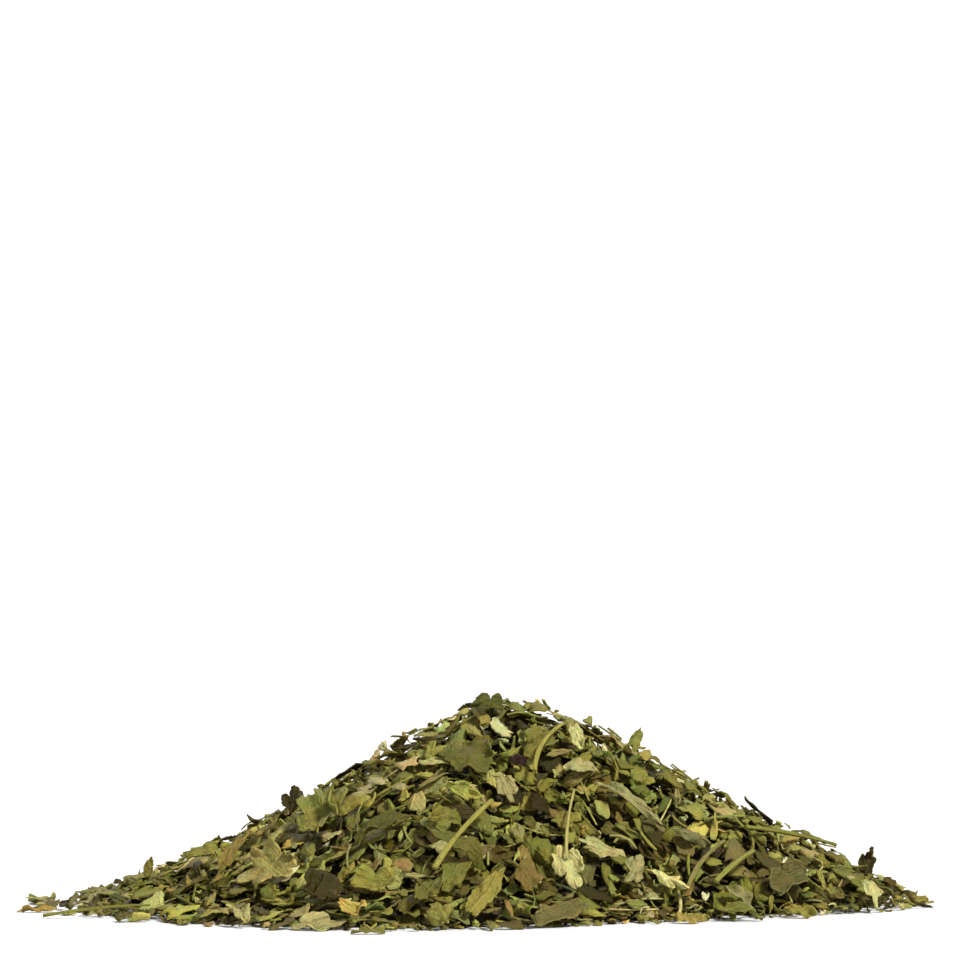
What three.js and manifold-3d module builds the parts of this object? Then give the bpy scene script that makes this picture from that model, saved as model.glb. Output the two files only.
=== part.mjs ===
// A heap of dried, cut coriander: leaf pieces, stem pieces and withered bits lying loose on a surface.
// Millimetres, +Z up. The origin is on the surface, under the middle of the heap.
// The heap's front faces -Y, and its long, thin skirt runs to -X.
import * as THREE from "three";
import { mergeVertices } from "three/addons/utils/BufferGeometryUtils.js";
import Module from "manifold-3d";

const wasm = await Module();
wasm.setup();

// ---- The form of the heap ----
const HEAP_HEIGHT = 43.5; // from the surface it lies on to the peak
const PEAK = new THREE.Vector2(5, 0); // plan position of the peak
// Distance from the peak to the heap's edge, at every 30 degrees of bearing from +X.
const REACH = [91, 80, 70, 66, 72, 82, 101, 87, 76, 62, 56, 66];
const ROUNDING = 1.3; // how broadly the peak is rounded
const SLOPE = 1.32; // 1 is a cone, more is a hollower slope
const SLOPE_LEFT = 0.3; // added towards -X, where the heap thins out
const SLOPE_RIGHT = -0.17; // added towards +X, where it stays full
const LUMP_HEIGHT = 0.7; // low swells over the whole slope
const LUMP_LENGTH = 17;

// ---- What the heap is made of ----
const BLADE = 0.7; // thickness of a leaf piece
const FRONT_LEAST = 0.3; // a face turned this far to the front keeps turn as seen from there
const GAP = 0.34; // clear space kept round each separate piece
const CORE_DEPTH = 1.9; // from the heap's form down to the packed core
const CORE_ROUGH = 1.6; // how unevenly the core's corners lie
const CORE_EDGE = 0.94; // the core's foot, as a share of the reach
const CORE_RAGGED = 0.12; // how unevenly that foot runs
const CORE_FOOT = 0.7; // least thickness at the foot
const CORE_SECTORS = 24;
const CORE_RINGS = 9;
const FLAKE_SEED = 41;
const FLAKE_PITCH = 9.8; // from one flake to the next
const FLAKE_STRAY = 2.2; // how far a flake strays from its even place
const FLAKE_EDGE = 0.95; // flakes lie out to this share of the reach
const FLAKE_LENGTH = [10, 14];
const FLAKE_SLIMNESS = [0.55, 0.85]; // width over length
const FLAKE_TILT = [14, 28]; // degrees that a flake stands up from the slope
const FLAKE_CRUMPLE = 0.8; // how far a flake's corners lie off its plane
const FLAKE_LIFT = -1.3; // from the heap's form to the middle of a flake
const FLAKE_FLOOR = 0.5; // least height of a flake's middle
const FLAKE_LOBED = 0.3; // share of flakes with lobes
const STEM_SIDES = 6;
const STEM_STEPS = 5;

const COLOURS = {
  green: 0x76703a,
  fresh: 0x878340,
  dark: 0x4b4b22,
  grey: 0x7d7a52,
  pale: 0xa9a570,
  yellow: 0xa39a3f,
  tan: 0xab8449,
  brown: 0x6f5633,
  red: 0x4d2a1c,
  straw: 0xb9ae74,
};

// ---- The larger pieces, each lying loose on the heap or beside it ----
// name, colour
// at: plan position
// size: length and width
// turn: direction of the length, in degrees, seen from the front, or from above for a flat piece
// lean: degrees that it stands up from the slope towards the front
// lift: from the heap's form to its middle, or null for a flat piece, which lies on the surface
// lobes: 0 is a piece with cut edges
// fold, curl, twist: how far its long edges, its ends and its corners lie off its plane
const LEAVES = [
  ["lobed_leaf_left", "fresh", [-31.5, -23], [19, 12.5], 98, 34, 3.4, 5, 1.6, -1.4, 0.5],
  ["dark_leaf_left", "dark", [-38, -8], [7.2, 5.6], 80, 30, 2.6, 3, 0.7, 0.6, 0.4],
  ["folded_leaf_left", "grey", [-42, -38], [18, 13], 152, 10, 3.0, 5, 3.0, -1.4, 1.0],
  ["domed_leaf_left", "dark", [-31.5, -49.5], [9, 8], 60, 12, 2.2, 0, -1.6, -1.2, 0.2],
  ["toothed_leaf_left", "green", [-21, -51.5], [11, 8], 170, 8, 2.4, 4, 0.9, 0.9, -0.7],
  ["gutter_leaf_left", "green", [-20.5, -37], [16.5, 4.6], 30, 6, 2.8, 0, 1.9, -0.8, 0.6],
  ["skirt_leaf_left", "green", [-56, -17], [13.5, 5.6], 14, 14, 2.4, 3, 0.8, -1.0, 0.5],
  ["upright_leaf_left", "green", [-68.5, -7], [5, 2.6], 88, 55, 2.4, 0, 0.5, 0.5, 0.2],
  ["rolled_leaf_left", "pale", [-47.5, -54.5], [6.4, 5], 95, 25, 2.4, 0, 1.9, 0.4, 0.3],
  ["pale_leaf_front", "pale", [-32, -62], [12, 7], 14, 35, null, 3, 0.5, 0.6, 0.3],
  ["yellow_leaf_front", "yellow", [-8, -61], [7.6, 6], 130, 20, 2.2, 3, 0.9, -0.8, 0.4],
  ["arched_leaf_front", "green", [-4, -43.8], [17, 6.4], -20, 8, 4.0, 0, -0.8, -2.4, 0.6],
  ["tongue_leaf_front", "green", [-10.4, -54.5], [12, 4.6], 57, 10, 2.4, 0, 1.0, -1.1, -0.5],
  ["slanting_leaf_front", "yellow", [0.5, -54], [12.5, 4.6], 47, 14, 2.6, 0, -0.9, -1.3, 0.8],
  ["brown_leaf_front", "brown", [9, -46.5], [8, 6.4], -50, 10, 2.2, 0, 0.7, -0.8, 0.6],
  ["broad_leaf_front", "grey", [14, -54], [16.5, 6], 4, 22, 1.9, 0, 0.6, 0.8, -0.8],
  ["pale_leaf_middle", "pale", [17, -41], [12, 7], -66, 10, 3.2, 3, 0.9, -1.1, 0.6],
  ["small_leaf_middle", "green", [17, -29], [6.6, 4.2], 2, 10, 2.2, 3, 0.5, 0.5, -0.3],
  ["pale_leaf_right", "pale", [24.5, -33], [12.5, 5], -12, 8, 2.6, 4, -0.9, -1.0, 0.7],
  ["hanging_leaf_top", "pale", [5, -26.5], [8.4, 5], -60, 12, 2.5, 3, 0.7, -0.9, 0.4],
  ["bright_leaf_top", "fresh", [-3.5, -29], [9, 4.6], -25, 8, 2.2, 3, 0.8, -0.7, 0.5],
  ["lobed_leaf_middle", "green", [-7, -36], [13, 7.5], 20, 6, 2.2, 5, 1.0, 1.0, -0.6],
  ["broad_leaf_top", "green", [-2, -20.5], [11, 9], 4, 10, 2.3, 0, -0.7, -0.7, 0.4],
  ["lobed_leaf_top", "green", [12, -13.5], [9.5, 7.5], -140, 8, 2.3, 3, 0.7, -0.9, 0.5],
  ["narrow_leaf_top", "pale", [19.5, -9], [6.4, 3.4], -64, 12, 2.4, 0, 0.8, -0.6, 0.3],
  ["oval_leaf_top", "pale", [20.5, -16], [7.6, 4], 2, 6, 2.4, 0, -0.7, -0.8, 0.2],
  ["upright_leaf_right", "fresh", [31.7, -2], [6, 2.8], 80, 55, 4.0, 0, 0.6, 0.6, 0.4],
  ["finger_leaf_right", "pale", [31, -35.4], [10, 5.2], 56, 10, 2.4, 3, 0.8, -0.9, 0.6],
  ["notched_leaf_right", "pale", [37.6, -35], [12, 3.8], -40, 10, 2.4, 3, -0.8, -0.7, 0.5],
  ["broad_leaf_right", "grey", [62, -23.5], [13, 8.5], 20, 16, 2.6, 0, 1.1, 0.8, 0.9],
  ["pale_leaf_far_right", "pale", [80, -16], [9.5, 4.4], -66, 25, 3.0, 3, 0.7, -0.8, 0.4],
  ["curled_leaf_far_right", "yellow", [91.6, 0], [8, 4], 28, 40, null, 0, 1.3, 1.1, 0.3],
  ["upright_leaf_far_right", "dark", [80.5, 4.5], [8, 3.8], 78, 65, 4.4, 3, 0.5, 0.4, 0.3],
  ["yellow_leaf_right", "yellow", [65.6, -32.5], [6.8, 3.6], -16, 35, null, 0, 0.8, 0.3, 0.2],
  ["ground_leaf_right", "green", [53, -40], [12.5, 4], 12, 35, null, 0, 0.7, 0.5, 0.3],
  ["long_leaf_right_upper", "pale", [29.5, -19.5], [18, 3.2], -36, 8, 2.6, 0, 0.9, -0.8, 0.5],
  ["long_leaf_right_lower", "pale", [43.5, -22.5], [11.5, 3.2], -14, 8, 2.4, 0, -0.8, -0.8, 0.5],
  ["top_leaf", "green", [2, -6], [9, 4.6], 10, 6, 2.0, 4, 0.7, -0.8, 0.5],
  ["lobed_leaf_back", "fresh", [-22, 38], [12, 10], 35, 0, 2.6, 5, 1.1, -1.2, 0.6],
  ["broad_leaf_back", "grey", [30, 34], [13, 8], 160, 0, 2.4, 4, -0.9, -0.9, 0.6],
  ["ground_leaf_back", "green", [12, 71], [9, 5], 25, 0, null, 3, 0.7, 0.5, 0.3],
  ["scrap_front", "green", [-22, -71.3], [7.5, 2.6], 8, 20, null, 0, 0.5, 0.3, 0.2],
  ["ground_leaf_back_left", "grey", [-62, 47], [8, 4.4], -40, 0, null, 0, 0.8, 0.4, 0.3],
  ["ground_leaf_back_right", "pale", [58, 50], [8.6, 4.8], 130, 0, null, 3, 0.7, 0.5, 0.3],
  ["tan_strip_left", "tan", [-49.5, -28.5], [15, 2.8], 55, 16, 4.4, 0, 0.9, 0.5, 0.4],
  ["tan_tip_far_left", "tan", [-91.6, -17], [8.6, 2.6], 5, 30, null, 0, 0.5, -0.5, 0.3],
  ["tan_leaf_front", "tan", [-25, -59.5], [8, 5], -20, 20, 2.4, 3, 0.7, 0.6, 0.4],
  ["red_bit_top", "red", [7.5, -19.5], [4.8, 3.4], 10, 10, 2.2, 0, 0.4, 0.4, 0.2],
  ["tan_bit_right", "tan", [42.3, -45.5], [7, 3], -4, 15, null, 0, 0.5, 0.4, 0.2],
  ["folded_leaf_front", "green", [-5, -47.6], [11, 6], 62, 8, 0.8, 0, 0.3, -0.4, 0.2],
  ["curled_leaf_right", "pale", [52, -33.5], [7, 4.4], -40, 10, 2.8, 0, 1.4, -0.8, 0.3],
].map(([name, colour, at, size, turn, lean, lift, lobes, fold, curl, twist]) => {
  return { name, colour, at, size, turn, lean, lift, lobes, fold, curl, twist };
});

// Stem pieces: name, colour, at, length, girth (its diameter), turn, lift, and bow, which is how far
// the middle lies off the straight line.
const STEMS = [
  ["green_stem_front", "yellow", [-4, -43], 25, 1.2, 48, 5.4, 0.6],
  ["straw_front", "straw", [17, -32.5], 22, 0.7, 83, 4.6, 0.5],
  ["knobbed_stem_top", "yellow", [13, -16], 17, 1.0, 59, 4.2, 1.2],
  ["grey_stem_right", "grey", [45, -29.5], 19, 1.0, 48, 3.6, 0.8],
  ["green_stem_right", "fresh", [51, -27], 16, 1.2, 34, 3.4, 0.3],
  ["stem_far_left", "green", [-78, -33], 22, 1.2, 5, 1.6, 0.9],
  ["stem_far_right", "green", [64, -8.5], 25, 1.2, -13, 1.6, 0.6],
  ["stem_back", "yellow", [4, 40], 16, 1.2, 20, 2.8, 0.9],
].map(([name, colour, at, length, girth, turn, lift, bow]) => {
  return { name, colour, at, length, girth, turn, lift, bow };
});

const radians = THREE.MathUtils.degToRad;
const share = (range, t) => THREE.MathUtils.lerp(range[0], range[1], t);

// A repeatable stream of numbers from 0 to 1.
function seeded(seed) {
  let state = seed;
  return () => {
    state = (state + 0x6d2b79f5) | 0;
    let t = Math.imul(state ^ (state >>> 15), 1 | state);
    t = (t + Math.imul(t ^ (t >>> 7), 61 | t)) ^ t;
    return ((t ^ (t >>> 14)) >>> 0) / 4294967296;
  };
}

// A number from 0 to 1 that depends only on a piece's key and a corner's index.
function uneven(key, index) {
  const s = Math.sin(key * 12.9898 + index * 78.233) * 43758.5453;
  return s - Math.floor(s);
}

// ---- Heap form: height over the plan, and the direction its slope faces ----
// The edge's distance from the peak on one bearing, a smooth curve through the values of REACH.
function reach(bearing) {
  const turn = THREE.MathUtils.euclideanModulo(bearing, 2 * Math.PI);
  const place = (turn / (2 * Math.PI)) * REACH.length;
  const first = Math.floor(place);
  const t = place - first;
  const [a, b, c, d] = [-1, 0, 1, 2].map((step) => REACH[(first + step + REACH.length) % REACH.length]);
  return b + 0.5 * t * (c - a + t * (2 * a - 5 * b + 4 * c - d + t * (3 * (b - c) + d - a)));
}

function heightAt(x, y) {
  const dx = x - PEAK.x;
  const dy = y - PEAK.y;
  const bearing = Math.atan2(dy, dx);
  const out = Math.hypot(dx, dy) / reach(bearing);
  if (out >= 1) return 0;
  const left = Math.max(0, -Math.cos(bearing)) ** 2;
  const right = Math.max(0, Math.cos(bearing)) ** 2;
  const slope = SLOPE + SLOPE_LEFT * left + SLOPE_RIGHT * right;
  const fall = 1 - out ** ROUNDING;
  const lumps = Math.sin(x / LUMP_LENGTH + 1) * Math.cos((2 * y) / LUMP_LENGTH + 0.6 * Math.sin(x / 9));
  return HEAP_HEIGHT * fall ** slope + LUMP_HEIGHT * lumps * Math.min(1, 3 * fall * fall);
}

function slopeFacing(x, y) {
  const step = 2;
  const east = (heightAt(x + step, y) - heightAt(x - step, y)) / (2 * step);
  const north = (heightAt(x, y + step) - heightAt(x, y - step)) / (2 * step);
  return new THREE.Vector3(-east, -north, 1).normalize();
}

// ---- Solids: geometry in, geometry out, and the joins and cuts between ----
function toSolid(geometry) {
  const bare = new THREE.BufferGeometry();
  bare.setAttribute("position", geometry.getAttribute("position"));
  bare.setIndex(geometry.index);
  const merged = mergeVertices(bare, 1e-4);
  const vertProperties = merged.getAttribute("position").array;
  const triVerts = new Uint32Array(merged.index.array);
  return new wasm.Manifold(new wasm.Mesh({ numProp: 3, vertProperties, triVerts }));
}

function toGeometry(solid) {
  const { vertProperties, triVerts } = solid.getMesh();
  const geometry = new THREE.BufferGeometry();
  geometry.setAttribute("position", new THREE.BufferAttribute(vertProperties, 3));
  geometry.setIndex(new THREE.BufferAttribute(triVerts, 1));
  geometry.computeVertexNormals();
  return geometry;
}

// ---- Leaf pieces ----
// A leaf's outline: tips and notches fanned round its middle, narrowing to the stalk end at -X.
function lobedOutline(length, width, lobes, key) {
  const fan = lobes > 3 ? 118 : 92; // bearing of the outermost tips
  const corners = [[180, 0.92], [-152, 0.6]];
  for (let i = 0; i < lobes; i++) {
    const bearing = -fan + (2 * fan * i) / (lobes - 1);
    corners.push([bearing, 0.9 + 0.16 * uneven(key, i)]);
    if (i < lobes - 1) corners.push([bearing + fan / (lobes - 1), 0.56 + 0.12 * uneven(key, i + 20)]);
  }
  corners.push([152, 0.6]);
  return corners.map(([bearing, r]) => {
    const a = radians(bearing);
    return new THREE.Vector2((r * Math.cos(a) * length) / 2, (r * Math.sin(a) * width) / 2);
  });
}

// A cut piece's outline: straight cuts at uneven angles.
function cutOutline(length, width, sides, key) {
  return Array.from({ length: sides }, (_, i) => {
    const a = ((i + 0.55 * (uneven(key, i) - 0.5)) / sides) * 2 * Math.PI;
    const r = 0.86 + 0.24 * uneven(key, i + 40);
    return new THREE.Vector2((r * Math.cos(a) * length) / 2, (r * Math.sin(a) * width) / 2);
  });
}

// A blade over an outline, split alike on both faces: rings of corners from the middle outwards,
// each raised by rise(x, y), half the thickness above and below.
function bladeGeometry(outline, thickness, rise, ringShares) {
  const count = outline.length;
  const position = [];
  const index = [];
  const perFace = 1 + count * ringShares.length;
  for (const side of [1, -1]) {
    const place = (x, y) => position.push(x, y, rise(x, y) + (side * thickness) / 2);
    place(0, 0);
    for (const s of ringShares) outline.forEach((p) => place(p.x * s, p.y * s));
  }
  const face = (a, b, c) => {
    index.push(a, b, c);
    index.push(perFace + a, perFace + c, perFace + b);
  };
  for (let i = 0; i < count; i++) {
    const j = (i + 1) % count;
    face(0, 1 + i, 1 + j);
    for (let ring = 1; ring < ringShares.length; ring++) {
      const inner = 1 + (ring - 1) * count;
      const outer = 1 + ring * count;
      face(inner + i, outer + i, outer + j);
      face(inner + i, outer + j, inner + j);
    }
    const rim = 1 + (ringShares.length - 1) * count;
    index.push(rim + i, perFace + rim + i, perFace + rim + j);
    index.push(rim + i, perFace + rim + j, rim + j);
  }
  const geometry = new THREE.BufferGeometry();
  geometry.setAttribute("position", new THREE.Float32BufferAttribute(position, 3));
  geometry.setIndex(index);
  return geometry;
}

// Folded along its length, curled at its ends and twisted corner to corner.
function leafGeometry(piece, grown) {
  const [length, width] = piece.size;
  const key = piece.at[0] + 3 * piece.at[1];
  const [longer, wider] = [length + 2 * grown, width + 2 * grown];
  const outline = piece.lobes
    ? lobedOutline(longer, wider, piece.lobes, key)
    : cutOutline(longer, wider, 9, key);
  const rise = (x, y) => {
    const u = (2 * x) / length;
    const v = (2 * y) / width;
    return piece.fold * Math.abs(v) + piece.curl * u * u + piece.twist * u * v;
  };
  return bladeGeometry(outline, BLADE + 2 * grown, rise, [0.55, 1]);
}

// ---- Stem pieces: a six-sided rod along a bowed line, thinner at its far end ----
function stemGeometry(piece, grown) {
  const half = piece.length / 2 + grown;
  const line = new THREE.CatmullRomCurve3([
    new THREE.Vector3(-half, 0, 0),
    new THREE.Vector3(-half / 3, piece.bow, 0.25 * piece.bow),
    new THREE.Vector3(half / 3, piece.bow * 0.8, 0.3 * piece.bow),
    new THREE.Vector3(half, -0.4 * piece.bow, 0),
  ]);
  const r = piece.girth / 2 + grown;
  const section = new THREE.Shape(
    Array.from({ length: STEM_SIDES }, (_, i) => {
      const a = (i / STEM_SIDES) * 2 * Math.PI;
      return new THREE.Vector2(r * Math.cos(a), r * Math.sin(a));
    }),
  );
  return new THREE.ExtrudeGeometry(section, { steps: STEM_STEPS, extrudePath: line });
}

// ---- Where a piece lies: its length along turn, its face as the slope's, leaned to the front ----
function placement(piece) {
  const [x, y] = piece.at;
  const turn = radians(piece.turn);
  const lean = radians(piece.lean ?? 0);
  const flat = piece.lift === null;
  const facing = flat ? new THREE.Vector3(0, 0, 1) : slopeFacing(x, y);
  const front = new THREE.Vector3(0, -1, 0);
  facing.multiplyScalar(Math.cos(lean)).addScaledVector(front, Math.sin(lean)).normalize();
  const along = flat
    ? new THREE.Vector3(Math.cos(turn), Math.sin(turn), 0)
    : new THREE.Vector3(Math.cos(turn), 0, Math.sin(turn));
  if (!flat && -facing.y > FRONT_LEAST) along.y = -along.dot(facing) / facing.y;
  along.addScaledVector(facing, -along.dot(facing)).normalize();
  const across = new THREE.Vector3().crossVectors(facing, along);
  const middle = new THREE.Vector3(x, y, heightAt(x, y)).addScaledVector(facing, piece.lift ?? 0);
  return new THREE.Matrix4().makeBasis(along, across, facing).setPosition(middle);
}

// A piece on the flat surface is lowered until it touches. The others lie where lift puts them.
function placedSolid(make, piece, grown = 0) {
  const matrix = placement(piece);
  const solid = toSolid(make(piece, grown).applyMatrix4(matrix));
  if (piece.lift !== null) return solid;
  const resting = toSolid(make(piece, 0).applyMatrix4(matrix));
  return solid.translate([0, 0, -resting.boundingBox().min[2]]);
}

// ---- The packed core: leaves that never show, as one low crumpled mound with a flat foot ----
function coreGeometry() {
  const position = [0, 0, -1, PEAK.x, PEAK.y, heightAt(PEAK.x, PEAK.y) - CORE_DEPTH];
  const index = [];
  const foot = 2 + CORE_RINGS * CORE_SECTORS;
  for (let ring = 1; ring <= CORE_RINGS; ring++) {
    for (let k = 0; k < CORE_SECTORS; k++) {
      const bearing = ((k + 0.5 * (ring % 2)) / CORE_SECTORS) * 2 * Math.PI;
      const edge = CORE_EDGE + CORE_RAGGED * (uneven(k, 5) - 0.5);
      const out = (ring / CORE_RINGS) * edge * reach(bearing);
      const x = PEAK.x + out * Math.cos(bearing);
      const y = PEAK.y + out * Math.sin(bearing);
      const z = heightAt(x, y) - CORE_DEPTH + CORE_ROUGH * (2 * uneven(k, ring + 7) - 1);
      position.push(x, y, Math.max(CORE_FOOT, z));
    }
  }
  for (let k = 0; k < CORE_SECTORS; k++) {
    const rim = 3 * (foot - CORE_SECTORS + k);
    position.push(position[rim], position[rim + 1], -1);
  }
  for (let k = 0; k < CORE_SECTORS; k++) {
    const next = (k + 1) % CORE_SECTORS;
    index.push(1, 2 + k, 2 + next);
    for (let ring = 1; ring < CORE_RINGS; ring++) {
      const inner = 2 + (ring - 1) * CORE_SECTORS;
      const outer = inner + CORE_SECTORS;
      const [a, b, c, d] = [inner + k, inner + next, outer + k, outer + next];
      if (ring % 2) index.push(a, d, b, a, c, d);
      else index.push(a, c, b, b, c, d);
    }
    const top = foot - CORE_SECTORS;
    index.push(top + k, foot + k, foot + next, top + k, foot + next, top + next);
    index.push(0, foot + next, foot + k);
  }
  const geometry = new THREE.BufferGeometry();
  geometry.setAttribute("position", new THREE.Float32BufferAttribute(position, 3));
  geometry.setIndex(index);
  return geometry;
}

// ---- The flakes that cover the core: each is sunk at one end and stands up at the other ----
// Places on a triangular net over the heap, each strayed a little.
function flakePlaces(random) {
  const rowPitch = FLAKE_PITCH * Math.sqrt(0.75);
  const rows = Math.ceil(Math.max(...REACH) / rowPitch);
  const places = [];
  for (let row = -rows; row <= rows; row++) {
    for (let step = -rows; step <= rows; step++) {
      const east = FLAKE_PITCH * (step + 0.5 * (row % 2)) + FLAKE_STRAY * (2 * random() - 1);
      const north = rowPitch * row + FLAKE_STRAY * (2 * random() - 1);
      const edge = FLAKE_EDGE * reach(Math.atan2(north, east));
      if (Math.hypot(east, north) > edge) continue;
      const [x, y] = [PEAK.x + east, PEAK.y + north];
      places.push(new THREE.Vector3(x, y, heightAt(x, y)));
    }
  }
  return places;
}

function flakeSolid(place, random, key) {
  const length = share(FLAKE_LENGTH, random());
  const width = length * share(FLAKE_SLIMNESS, random());
  const lobed = random() < FLAKE_LOBED;
  const outline = lobed ? lobedOutline(length, width, 3, key) : cutOutline(length, width, 6, key);
  const corners = outline.map((_, i) => FLAKE_CRUMPLE * (2 * uneven(key, i + 60) - 1));
  const rise = (x, y) => {
    const corner = outline.findIndex((p) => p.x === x && p.y === y);
    return corner < 0 ? FLAKE_CRUMPLE / 2 : corners[corner];
  };
  const facing = slopeFacing(place.x, place.y);
  const bearing = random() * 2 * Math.PI;
  const along = new THREE.Vector3(Math.cos(bearing), Math.sin(bearing), 0);
  along.addScaledVector(facing, -along.dot(facing)).normalize();
  const across = new THREE.Vector3().crossVectors(facing, along);
  along.applyAxisAngle(across, -radians(share(FLAKE_TILT, random())));
  const up = new THREE.Vector3().crossVectors(along, across);
  const middle = place.clone().addScaledVector(facing, FLAKE_LIFT);
  middle.z = Math.max(FLAKE_FLOOR, middle.z);
  const matrix = new THREE.Matrix4().makeBasis(along, across, up).setPosition(middle);
  return toSolid(bladeGeometry(outline, BLADE, rise, [1]).applyMatrix4(matrix));
}

// Core and flakes as one solid, cut back from every separate piece and level underneath.
function heapSolid(clearances) {
  const random = seeded(FLAKE_SEED);
  const flakes = flakePlaces(random).map((place, i) => flakeSolid(place, random, i));
  const whole = wasm.Manifold.union([toSolid(coreGeometry()), ...flakes]);
  const cleared = whole.subtract(wasm.Manifold.union(clearances)).trimByPlane([0, 0, 1], 0);
  const bodies = cleared.simplify(0.02).decompose();
  return bodies.reduce((most, body) => (body.volume() > most.volume() ? body : most));
}

// ---- The whole part ----
const part = new THREE.Group();

function addMesh(name, geometry, colour) {
  const look = { color: COLOURS[colour], roughness: 0.85, metalness: 0 };
  const material = new THREE.MeshStandardMaterial(look);
  const mesh = new THREE.Mesh(geometry, material);
  mesh.name = name;
  part.add(mesh);
}

const leafMakers = LEAVES.map((piece) => [leafGeometry, piece]);
const stemMakers = STEMS.map((piece) => [stemGeometry, piece]);
const makers = [...leafMakers, ...stemMakers];
const clearances = makers.map(([make, piece]) => placedSolid(make, piece, GAP));
addMesh("heap_of_cut_leaves", toGeometry(heapSolid(clearances)), "green");
for (const [make, piece] of makers) {
  const solid = placedSolid(make, piece).trimByPlane([0, 0, 1], 0);
  addMesh(piece.name, toGeometry(solid), piece.colour);
}

export default part;
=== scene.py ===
"""A heap of dried, cut coriander on a plain floor: leaf pieces, stem pieces and withered bits.

Shapes are worked out in millimetres and written to meshes in metres. The larger pieces come from a table and
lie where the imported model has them. The small ones are laid down one by one on a height map.
"""

from collections import namedtuple
from types import SimpleNamespace

import bpy
import numpy as np
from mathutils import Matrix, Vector


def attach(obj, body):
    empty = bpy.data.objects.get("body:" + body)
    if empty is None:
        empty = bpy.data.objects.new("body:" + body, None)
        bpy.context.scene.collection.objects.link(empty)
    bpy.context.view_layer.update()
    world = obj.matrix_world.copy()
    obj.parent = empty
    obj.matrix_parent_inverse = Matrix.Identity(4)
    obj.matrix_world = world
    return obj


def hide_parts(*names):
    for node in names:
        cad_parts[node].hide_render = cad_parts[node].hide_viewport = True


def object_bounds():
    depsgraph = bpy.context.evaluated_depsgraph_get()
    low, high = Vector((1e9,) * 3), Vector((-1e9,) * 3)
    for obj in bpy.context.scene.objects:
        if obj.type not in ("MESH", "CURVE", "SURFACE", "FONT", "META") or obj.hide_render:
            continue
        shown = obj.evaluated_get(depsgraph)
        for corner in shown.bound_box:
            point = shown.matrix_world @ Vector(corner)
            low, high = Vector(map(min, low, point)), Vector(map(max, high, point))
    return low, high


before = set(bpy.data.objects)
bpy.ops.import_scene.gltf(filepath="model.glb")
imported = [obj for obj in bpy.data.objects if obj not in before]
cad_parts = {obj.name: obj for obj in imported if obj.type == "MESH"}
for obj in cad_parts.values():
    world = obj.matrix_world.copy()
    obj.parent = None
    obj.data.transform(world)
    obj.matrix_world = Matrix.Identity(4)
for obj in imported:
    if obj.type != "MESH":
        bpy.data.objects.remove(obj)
cad_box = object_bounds()

MM = 0.001
TAU = 2 * np.pi
ALL_ROUND = (0, TAU)

# ---- The form of the heap, in millimetres ----
HEAP_HEIGHT = 43.5
PEAK = np.array([5.0, 0.0])
# From the peak to the edge, every 30 degrees from +X.
REACH = np.array([91, 80, 70, 66, 72, 82, 101, 87, 76, 62, 56, 66.0])
ROUNDING = 1.3  # how round the peak is
SLOPE, SLOPE_LEFT, SLOPE_RIGHT = 1.32, 0.3, -0.17  # how hollow the slope is, and what is added on each side
LUMP_HEIGHT, LUMP_LENGTH = 0.7, 17.0  # low swells over the whole slope
FRONT_LEAST = 0.3  # a face turned this far to the front keeps its turn as seen from there

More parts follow.
